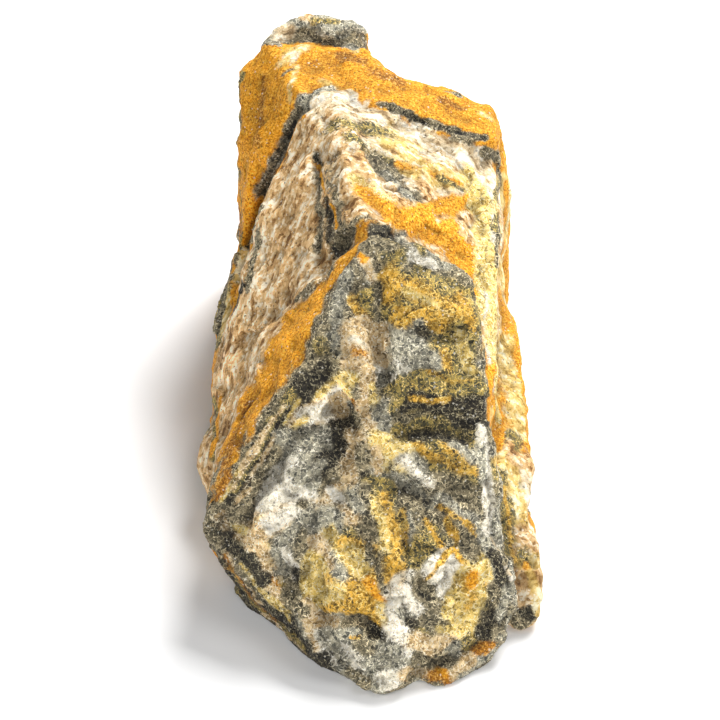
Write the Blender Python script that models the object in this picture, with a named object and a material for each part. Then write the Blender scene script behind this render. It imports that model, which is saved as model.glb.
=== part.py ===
"""Coloradoite specimen: one rough, ochre-stained block of telluride ore, lying on its flattest side.

The block is modelled the way it broke out of its vein.  Convex lumps bounded by flat fracture
faces are merged into one stone, creases and pits are pressed into the merged skin, the faces
are broken up into small hackly facets, and the underside is cut flat where the stone rests.

Lengths are millimetres until the last step, which turns them into metres.  +X is to the right
of the broken front face, +Y runs back along the stone, +Z is up.  The lumps and strokes are
placed from a point under the stone's middle, and the finished stone is moved so that its box
stands on the origin.
"""

import bmesh
import bpy
from mathutils import Vector, noise
from mathutils.geometry import intersect_point_line

MM = 0.001

# Corners of each lump: x across, y back along the stone, z up.
LUMPS = {
    # The body of the stone, from the crest down both flanks.
    "body": [
        (1.2, 6.5, 31.8), (-1.6, 16.3, 34.4), (-3.2, 27.0, 35.0),         # crest, front to back
        (2.7, 27.5, 32.4), (8.6, 26.0, 30.0), (15.1, 25.1, 26.6),         # top of the rear step
        (14.9, 17.9, 24.7), (14.4, 8.7, 22.0), (13.6, -6.0, 16.6),        # shoulder over the right flank
        (-6.4, 26.5, 33.0), (-10.1, 19.9, 27.0), (-11.8, 17.0, 22.5),     # left shoulder, going down
        (-13.3, 11.9, 17.0), (-15.4, 11.2, 12.0), (-16.5, 3.0, 8.0),
        (-16.0, -3.2, 4.0), (-13.0, -9.0, 8.0),
        (-13.6, 2.0, -0.6), (-14.0, 20.0, -0.6), (-10.0, -8.0, -0.6),     # foot
        (15.8, 27.0, -0.6), (16.6, 5.0, -0.6), (12.0, -12.0, -0.6),
    ],
    # The ochre skin on the left, a step back from the left shoulder and running to the far end.
    "left_skin_far": [
        (-13.0, 37.0, 31.0), (-13.2, 36.6, 29.4), (-12.4, 26.0, 24.6), (-12.7, 23.7, 20.0),
        (-13.0, 39.0, 12.0), (-12.6, 42.0, -0.6), (-13.2, 28.0, -0.6), (-13.0, 22.0, 12.0),
        (-2.0, 36.0, 30.0), (-2.0, 20.0, 10.0), (-2.0, 40.0, -0.6),
    ],
    "left_skin_near": [
        (-12.7, 23.7, 20.0), (-14.3, 20.7, 14.0), (-15.7, 15.4, 12.0), (-15.4, 12.0, 12.6),
        (-16.0, 8.0, 9.0), (-14.2, 26.0, -0.6), (-15.2, 6.0, -0.6),
        (-2.0, 24.0, 16.0), (-2.0, 10.0, 10.0), (-2.0, 26.0, -0.6),
    ],
    # The ochre block at the far end, higher on the left than on the right.
    "far_block_left": [
        (-13.0, 37.2, 31.0), (-10.7, 38.1, 33.2), (-9.3, 36.6, 33.8),
        (0.4, 37.0, 33.6), (2.7, 33.1, 33.2), (2.7, 26.6, 33.6),
        (-6.4, 27.4, 34.2), (-12.4, 27.0, 25.0),
        (-12.6, 41.6, 20.0), (-12.0, 41.4, -0.6), (4.0, 44.0, 20.0), (3.6, 40.4, 26.4), (4.0, 43.0, -0.6),
        (4.0, 20.0, -0.6), (-12.0, 20.0, -0.6),
    ],
    "far_block_right": [
        (2.7, 33.1, 33.2), (6.5, 32.6, 32.0), (9.2, 32.8, 31.2), (11.4, 32.9, 29.9),
        (14.2, 32.7, 28.8), (15.4, 31.8, 27.2), (15.8, 28.0, 26.6),
        (2.7, 26.2, 33.8), (8.6, 25.0, 31.4), (14.7, 25.4, 28.2),
        (3.0, 43.4, 24.0), (13.4, 39.6, 19.0), (12.0, 41.6, -0.6), (3.0, 43.4, -0.6),
        (16.0, 30.0, 8.0), (15.8, 33.0, -0.6), (16.4, 26.4, 21.6), (16.4, 20.0, 10.0),
        (15.8, 18.0, -0.6), (0.0, 30.0, 20.0), (0.0, 20.0, -0.6),
    ],
    # The grey knob on the far end.
    "knob": [
        (-10.7, 38.7, 33.0), (-9.3, 40.2, 34.2), (-6.0, 41.5, 35.0), (-4.2, 40.6, 34.8),
        (-2.2, 40.7, 34.5), (0.2, 40.2, 33.5), (0.4, 38.7, 32.8), (-12.0, 41.0, 27.0),
        (-8.6, 44.0, 29.0), (-0.6, 44.6, 28.0), (-5.0, 44.2, 32.6), (-5.0, 38.8, 26.0),
        (-6.0, 44.6, 18.0), (3.0, 43.0, 22.6),
    ],
    # The broken front face, which stands proud of the body behind it.
    "front_slab": [
        (1.5, 5.4, 33.4), (6.1, 4.2, 32.2), (11.3, 2.4, 29.6),            # top edge
        (12.4, -3.6, 26.8), (13.0, -7.6, 21.3), (13.6, -12.6, 15.8),      # right edge, going down
        (14.8, -18.6, 8.8), (15.9, -21.4, 4.0), (14.4, -24.0, 1.4),
        (8.1, -27.0, 1.6), (3.8, -29.0, 1.1), (1.8, -29.8, 0.9),
        (-1.4, -28.0, 2.0), (-3.9, -26.2, 2.6), (-5.8, -22.6, 5.8),       # edge over the dark lower side
        (-10.4, -18.2, 8.9), (-13.3, -16.7, 9.6), (-16.1, -15.4, 10.0),
        (-13.3, -14.8, 4.0), (-11.6, -17.0, 1.5), (-7.7, -20.6, 0.5), (-4.6, -24.6, 0.3),
        (-15.3, -13.9, 13.0), (-11.8, -10.7, 17.0), (-8.7, -8.0, 20.0),   # left edge, going up
        (-5.6, -5.6, 24.0), (-3.1, -1.6, 28.0), (-1.0, 2.4, 30.8),
        (-2.9, 6.2, 28.4), (-6.6, 5.0, 24.4), (-10.0, 4.6, 20.6),         # rear rim of the ochre band
        (-12.2, 1.2, 16.0), (-14.2, -2.6, 11.6), (-15.6, -7.0, 8.0),
        (1.8, -28.4, -0.6), (-7.0, -20.4, -0.6), (-12.2, -13.4, -0.6),    # foot
        (12.0, -21.0, -0.6), (13.0, 2.0, -0.6), (-12.0, 0.0, -0.6),
    ],
    # Swelling under the top edge of the front face, ending in a low brow.
    "brow": [
        (3.6, 1.6, 31.7), (7.6, 0.4, 31.0), (11.7, -1.2, 28.6), (12.3, -4.9, 25.6),
        (12.7, -8.0, 22.2), (8.1, -9.1, 22.6), (4.6, -8.5, 22.9), (2.4, -6.7, 24.1), (2.2, -3.7, 26.6),
        (3.3, -6.6, 20.6), (8.2, -7.0, 20.2), (12.4, -6.4, 20.2), (6.0, 3.0, 26.0),
    ],
    # The lower half of the front face, which comes forward again below the brow.
    "lower_face": [
        (2.2, -11.3, 18.9), (7.1, -12.0, 19.1), (11.7, -11.2, 19.1), (13.2, -13.1, 16.2),
        (6.1, -16.6, 15.3), (10.2, -18.5, 11.6), (4.0, -22.3, 9.6), (-1.0, -23.8, 8.3),
        (-4.0, -24.3, 7.1), (4.0, -26.3, 5.1), (11.2, -24.3, 4.5), (14.5, -21.0, 6.9),
        (-3.0, -20.3, 10.6), (0.0, -13.6, 16.8), (3.0, -8.0, 16.0), (11.0, -8.0, 16.0),
        (0.0, -20.0, 4.0), (11.0, -20.0, 2.0), (1.8, -28.8, 2.2),
    ],
    # The pale mound left of the middle of the front face.
    "pale_mound": [
        (-6.1, -12.4, 17.9), (-8.7, -14.7, 15.2), (-3.0, -16.1, 14.9), (-10.7, -16.4, 12.5),
        (-6.1, -18.0, 12.7), (-9.2, -18.5, 11.0), (-11.9, -18.8, 8.8), (-4.1, -20.3, 10.6),
        (-6.0, -10.0, 14.0), (-2.0, -14.0, 12.0), (-9.0, -14.0, 8.0),
    ],
    # The tan spur that runs down the middle of the front face.
    "spur": [
        (-1.2, -1.4, 29.0), (0.2, -6.9, 24.7), (-0.8, -9.4, 22.4), (-2.8, -5.4, 24.8),
        (1.4, -9.0, 21.6), (1.0, -3.8, 26.6), (-2.0, -1.0, 24.0), (0.0, -6.0, 18.0),
    ],
    # The ochre ledge and its cream foot, low on the right flank.
    "right_ledge": [
        (15.1, 14.7, 17.5), (16.0, 12.5, 16.5), (17.2, 7.6, 15.0), (17.2, 3.6, 13.5),
        (18.1, -2.1, 11.5), (17.9, -7.0, 9.5), (18.0, -11.5, 8.0),
        (14.0, 10.0, 17.6), (14.4, -4.0, 13.0), (14.6, -12.0, 10.0),
        (16.6, 18.0, 10.0), (17.8, 6.0, 6.0), (16.6, 18.0, -0.6), (17.6, -12.0, -0.6),
        (10.0, 0.0, 0.0), (12.0, 14.0, 10.0),
    ],
    # The toe at the front right corner.
    "right_toe": [
        (18.6, -15.4, 6.0), (19.3, -18.6, 3.5), (18.6, -19.6, 1.5), (17.5, -19.9, 0.2),
        (16.2, -20.3, 0.2), (18.0, -10.0, 7.0), (15.0, -13.0, 8.6), (15.4, -19.0, 4.0),
        (12.0, -16.0, -0.6), (17.8, -9.0, -0.6), (18.4, -16.0, -0.6),
    ],
    # The bump low on the left flank.
    "left_toe": [
        (-17.4, 0.4, 6.0), (-17.0, 2.8, 8.0), (-16.2, -3.2, 4.2), (-14.0, -4.0, 10.0),
        (-13.0, 6.0, 12.0), (-15.0, 5.0, -0.6), (-14.4, -2.6, -0.6), (-10.0, 0.0, 2.0),
    ],
    # The rusty lip under the front edge.
    "rusty_lip": [
        (14.4, -24.3, 0.8), (11.2, -26.5, 0.6), (8.1, -28.3, 0.5), (6.2, -27.5, 0.6),
        (8.0, -26.0, 2.0), (13.0, -23.0, 2.6), (6.0, -22.0, -0.6), (12.0, -20.0, -0.6),
        (8.0, -27.6, -0.6), (13.4, -23.8, -0.6),
    ],
}

# Creases pressed into the skin (below zero) and ridges raised on it (above zero):
# the points each one runs through, its half width and its height.
STROKES = [
    # The open crack and the long furrows of the left flank.
    ([(-4.4, 20.0, 32.3), (-4.6, 15.0, 29.4), (-4.2, 9.9, 27.4), (-3.9, 5.6, 27.0)], 1.0, -0.7),
    ([(-6.4, 21.6, 31.0), (-7.9, 14.1, 26.1), (-10.3, 8.3, 19.9), (-12.1, 3.0, 14.7)], 1.7, -0.35),
    ([(-8.2, 19.2, 28.8), (-10.4, 13.1, 22.9), (-12.7, 6.2, 16.2)], 1.5, -0.35),
    ([(-10.4, 23.0, 29.4), (-12.0, 18.0, 22.4), (-13.6, 12.4, 16.4)], 1.0, -0.5),
    # The crease behind the ochre band.
    ([(-1.6, 8.5, 29.9), (-2.6, 7.0, 28.4), (-4.1, 5.8, 27.2)], 1.2, -0.6),
    # The crease down the front face, the notch it ends in and the pit beside the spur.
    ([(1.9, 2.3, 31.2), (1.9, -0.5, 29.2), (2.0, -4.1, 26.0)], 1.0, -0.45),
    ([(2.2, -5.0, 24.9), (3.1, -7.2, 23.0)], 1.2, -0.9),
    ([(-0.7, -9.3, 19.0), (-2.4, -8.6, 20.9)], 1.8, -1.2),
    # The recess under the brow.
    ([(4.1, -9.6, 20.7), (8.2, -9.8, 20.5), (12.6, -9.4, 19.8)], 1.6, -0.45),
    # The slanting ridge, the ridge over the chin and the hollow beside it.
    ([(0.9, -11.1, 19.2), (5.5, -13.9, 16.9), (8.1, -15.5, 15.8)], 1.4, 0.5),
    ([(4.4, -22.0, 10.0), (4.0, -23.8, 8.3), (3.1, -26.3, 5.1)], 1.1, 0.5),
    ([(-2.4, -25.0, 6.6), (0.0, -25.1, 6.9), (1.9, -25.7, 5.9)], 1.2, -0.8),
    # The rim left of the chin and the hollow outside it.
    ([(-5.3, -19.9, 10.2), (-5.8, -21.5, 8.2), (-5.3, -23.9, 5.7), (-3.9, -25.8, 2.8)], 1.1, 0.45),
    ([(-7.9, -19.8, 8.8), (-7.4, -21.6, 6.8)], 1.4, -0.5),
    # The shallow trough that the ochre ramp fills behind the front face.
    ([(0.0, 12.2, 32.9), (4.2, 9.4, 30.5), (9.4, 10.6, 26.8)], 3.0, -0.6),
    # The foot of the far step, and the notch in the front lip.
    ([(3.2, 26.7, 33.2), (8.6, 25.3, 30.9), (14.0, 25.8, 27.2)], 1.1, -0.6),
    ([(5.8, -28.0, 0.9), (5.2, -26.6, 2.2)], 1.2, -1.1),
]

MERGE_GRID = 0.5            # cell of the grid that merges the lumps
FACET_SIZES = (5.5, 2.4)    # widths of the large and small hackly facets
FACET_TILT = 0.13           # how far the facets lean out of the face they break up
GRAIN = 0.14                # height of the grain between facets
TRIANGLES = 8000            # of the finished stone
LEVEL_WITHIN = 0.06         # how near the cut a corner counts as lying on it


def hull(corners):
    """The convex lump around these corners, as vertices and faces."""
    bm = bmesh.new()
    made = bmesh.ops.convex_hull(bm, input=[bm.verts.new(corner) for corner in corners])
    inside = [v for v in made["geom_interior"] if isinstance(v, bmesh.types.BMVert)]
    bmesh.ops.delete(bm, geom=inside, context="VERTS")
    bmesh.ops.recalc_face_normals(bm, faces=bm.faces)
    bm.verts.index_update()
    verts = [v.co.copy() for v in bm.verts]
    faces = [[v.index for v in face.verts] for face in bm.faces]
    bm.free()
    return verts, faces


def with_modifier(mesh, kind, **settings):
    """The mesh after one modifier."""
    obj = bpy.data.objects.new("work", mesh)
    bpy.context.scene.collection.objects.link(obj)
    modifier = obj.modifiers.new("work", kind)
    for name, value in settings.items():
        setattr(modifier, name, value)
    graph = bpy.context.evaluated_depsgraph_get()
    result = bpy.data.meshes.new_from_object(obj.evaluated_get(graph))
    bpy.data.objects.remove(obj)
    return result


def merged_lumps():
    """All lumps as one closed skin on an even grid."""
    verts, faces = [], []
    for corners in LUMPS.values():
        lump_verts, lump_faces = hull(corners)
        faces += [[i + len(verts) for i in face] for face in lump_faces]
        verts += lump_verts
    mesh = bpy.data.meshes.new("lumps")
    mesh.from_pydata(verts, [], faces)
    return with_modifier(mesh, "REMESH", mode="VOXEL", voxel_size=MERGE_GRID)


def distance_to_path(point, path):
    """How far a point is from a path of straight stretches."""
    nearest = 1e9
    for start, end in zip(path, path[1:]):
        on_path, share = intersect_point_line(point, start, end)
        on_path = Vector(start).lerp(Vector(end), max(0.0, min(1.0, share)))
        nearest = min(nearest, (on_path - point).length)
    return nearest


def stroke_height(point):
    """Height of the creases and ridges at this point."""
    height = 0.0
    for path, half_width, middle in STROKES:
        away = distance_to_path(point, path) / half_width
        if away < 1.0:
            height += middle * (1.0 - away * away) ** 2
    return height


def facet_height(point, size):
    """Height of the hackly fracture here: each cell of the rock breaks on its own small plane."""
    place = point / size
    distances, centres = noise.voronoi(place)
    heights = []
    for centre in centres[:2]:
        lean = Vector([noise.noise(centre * 3.7 + Vector((size, 9.0 * axis, 0))) for axis in range(3)])
        heights.append((place - centre).dot(lean) * 2.0 + noise.noise(centre * 5.1) * 0.5)
    share = min(1.0, (distances[1] - distances[0]) / 0.3) * 0.5 + 0.5
    return (heights[0] * share + heights[1] * (1.0 - share)) * size * FACET_TILT


def roughen(mesh):
    """Moves the skin in and out along its normals by the strokes, the facets and the grain."""
    normals = [v.normal.copy() for v in mesh.vertices]
    for v, normal in zip(mesh.vertices, normals):
        height = sum(facet_height(v.co, size) for size in FACET_SIZES)
        height += noise.fractal(v.co / 1.6, 0.9, 2.1, 3) * GRAIN
        v.co += normal * (height + stroke_height(v.co))


def cut_flat(mesh):
    """Cuts the underside off level at zero, so that the stone rests on broad flat patches."""
    verts = [(x, y, z) for x in (-40, 40) for y in (-60, 60) for z in (-20, 0)]
    box = bpy.data.meshes.new("below")
    sides = [(0, 1, 3, 2), (4, 6, 7, 5), (0, 4, 5, 1), (2, 3, 7, 6), (0, 2, 6, 4), (1, 5, 7, 3)]
    box.from_pydata(verts, [], sides)
    below = bpy.data.objects.new("below", box)
    bpy.context.scene.collection.objects.link(below)
    cut = with_modifier(mesh, "BOOLEAN", object=below, operation="DIFFERENCE", solver="EXACT")
    bpy.data.objects.remove(below)
    return cut


def level_rim(mesh):
    """Puts corners that thinning moved a hair off the cut back on it."""
    for v in mesh.vertices:
        if v.co.z < LEVEL_WITHIN:
            v.co.z = 0.0


def stand_on_origin(mesh):
    """Moves the stone so that the middle of its box's underside is the origin, and gives the move."""
    lowest = Vector(min(v.co[i] for v in mesh.vertices) for i in range(3))
    highest = Vector(max(v.co[i] for v in mesh.vertices) for i in range(3))
    move = -(lowest + highest) / 2
    move.z = -lowest.z
    for v in mesh.vertices:
        v.co = (v.co + move) * MM
    return move


def ore_material():
    material = bpy.data.materials.new("ochre stained telluride ore")
    material.use_nodes = True
    surface = material.node_tree.nodes["Principled BSDF"]
    surface.inputs["Base Color"].default_value = (0.36, 0.26, 0.12, 1.0)
    surface.inputs["Roughness"].default_value = 0.85
    return material


def main():
    for obj in list(bpy.data.objects):
        bpy.data.objects.remove(obj)
    mesh = merged_lumps()
    roughen(mesh)
    mesh = with_modifier(mesh, "REMESH", mode="VOXEL", voxel_size=MERGE_GRID)
    mesh = cut_flat(mesh)
    mesh.calc_loop_triangles()
    share = TRIANGLES / len(mesh.loop_triangles)
    mesh = with_modifier(mesh, "DECIMATE", ratio=share, use_collapse_triangulate=True)
    level_rim(mesh)
    move = stand_on_origin(mesh)
    mesh.materials.append(ore_material())
    mesh.name = "specimen"
    stone = bpy.data.objects.new("specimen", mesh)
    bpy.context.scene.collection.objects.link(stone)
    return move


# Millimetres from the frame of the lumps to the frame of the finished stone.
DESIGN_TO_ROW = main()
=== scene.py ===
"""Coloradoite specimen: a hand-sized block of banded telluride ore in a plain pale studio.

The stone is one piece that broke out of its vein.  Its skin is made first.  The minerals are
laid over it band by band, its break is roughened, painted shade is left in its hollows, and
each mineral gets its finish.  The floor, the lamps and the camera come last.
"""

import bpy
import numpy as np
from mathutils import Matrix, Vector, noise


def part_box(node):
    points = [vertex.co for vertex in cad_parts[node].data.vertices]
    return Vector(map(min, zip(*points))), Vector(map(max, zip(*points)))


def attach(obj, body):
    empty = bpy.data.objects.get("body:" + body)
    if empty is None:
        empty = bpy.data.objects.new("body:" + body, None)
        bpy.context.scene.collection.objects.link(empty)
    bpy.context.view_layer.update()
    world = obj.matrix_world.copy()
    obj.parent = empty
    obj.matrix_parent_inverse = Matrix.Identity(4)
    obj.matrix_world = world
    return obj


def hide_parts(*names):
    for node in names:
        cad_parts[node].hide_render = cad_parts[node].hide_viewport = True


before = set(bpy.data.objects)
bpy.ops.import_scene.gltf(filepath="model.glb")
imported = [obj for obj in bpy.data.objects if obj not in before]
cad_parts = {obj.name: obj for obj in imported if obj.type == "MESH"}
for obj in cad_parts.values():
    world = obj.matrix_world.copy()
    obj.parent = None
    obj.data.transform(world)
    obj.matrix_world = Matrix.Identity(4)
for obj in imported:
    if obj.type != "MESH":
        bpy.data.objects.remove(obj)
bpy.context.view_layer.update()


# ---------------- the stone: its skin
# One block of vein rock, snapped off its vein and never polished.  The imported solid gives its
# lumps and ledges.  This skin lies on the same form, with points close enough for fine relief.

MM = 0.001
SKIN_SPACING = 0.34  # mm between points

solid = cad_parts["specimen"]
stone = bpy.data.objects.new("vein_stone", solid.data.copy())
bpy.context.scene.collection.objects.link(stone)
skin = stone.modifiers.new("even skin", "REMESH")
skin.mode = "VOXEL"
skin.voxel_size = SKIN_SPACING * MM
skin.use_smooth_shade = True
evaluated = stone.evaluated_get(bpy.context.evaluated_depsgraph_get())
stone.data = bpy.data.meshes.new_from_object(evaluated)
stone.modifiers.clear()

count = len(stone.data.vertices)
points = np.zeros(count * 3)
stone.data.vertices.foreach_get("co", points)
points = points.reshape(-1, 3) / MM
outward = np.zeros(count * 3)
stone.data.vertex_normals.foreach_get("vector", outward)
outward = outward.reshape(-1, 3)


# ---------------- the stone: its minerals
# The vein grew in bands: an iron ochre skin at the far end, sandy altered rock with quartz,
# a seam of ochre, and the grey telluride ore of the broken front.  Minerals that filled cracks
# and pockets are laid over the bands as patches, one over another.

MINERALS = ("ochre", "quartz", "straw", "rust", "olive", "gold", "ore", "black", "slate",
            "frost", "buff", "pale_gold", "beige")

# The directions across the bands, which turn a little along the vein.
ACROSS_FAR = (0.151, -0.818, 0.555)
ACROSS_SEAM = (0.12, -0.79, 0.60)
ACROSS_FRONT = (0.077, -0.756, 0.650)

# Bands of the vein: mineral, direction across it, and where it starts and ends, in mm.
BANDS = (
    ("ochre", ACROSS_FAR, -60.0, 2.4),
    ("olive", ACROSS_FAR, -9.5, -7.5),
    ("quartz", ACROSS_FAR, -16.0, -13.6),
    ("ore", ACROSS_FAR, -17.6, -16.0),
    ("straw", ACROSS_FAR, -24.5, -23.0),
    ("ochre", ACROSS_SEAM, 18.6, 21.6),
    ("ore", ACROSS_FRONT, 21.6, 60.0),
    ("slate", ACROSS_FRONT, 25.5, 27.5),
)
BAND_EDGE = 0.9  # mm over which one band turns into the next

# In the tables, each line is a patch: its mineral, its half width, the width of its edge,
# and the points that it runs through, all in mm.

# Wide skins on the sides away from the broken front, and black in their cracks.
HIDDEN = """
rust 2.5 2.5: 14 26 8, 10 36 12, -4 37 20
rust 2 2.5: -13 30 22, -14.5 22 12, -15 14 4
beige 1.6 1.8: 12 33 14, 4 37 10, -8 37 6
beige 1.5 1.6: -14 33 12, -14.5 26 6
rust 1.6 2.2: 16 8 14, 17.5 -6 9, 17.5 -20 6
straw 3.2 .8: 13.5 18 21, 14 4 17, 14.2 -14 10.5
ochre 3.8 .8: 16.5 6 11.5, 17.5 -8 8, 17.5 -18 5.5
olive 3 1: 16 12 4.5, 17 -6 2.5, 17.5 -22 2
black .6 .4: 15.5 18 9, 17 4 6.4, 17.6 -10 4.4
quartz 1.2 .7: 15.6 22 12, 16.4 10 8
olive 2 .9: -15 8 2, -15.5 -6 1.5
black 4 1: -14.5 -23 2.5, -10 -27.5 1.5, -6 -31.5 .5
olive .8 .8: -13.8 -24 3.4, -9.8 -28 2.2, -6.6 -31 1.6
"""
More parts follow.
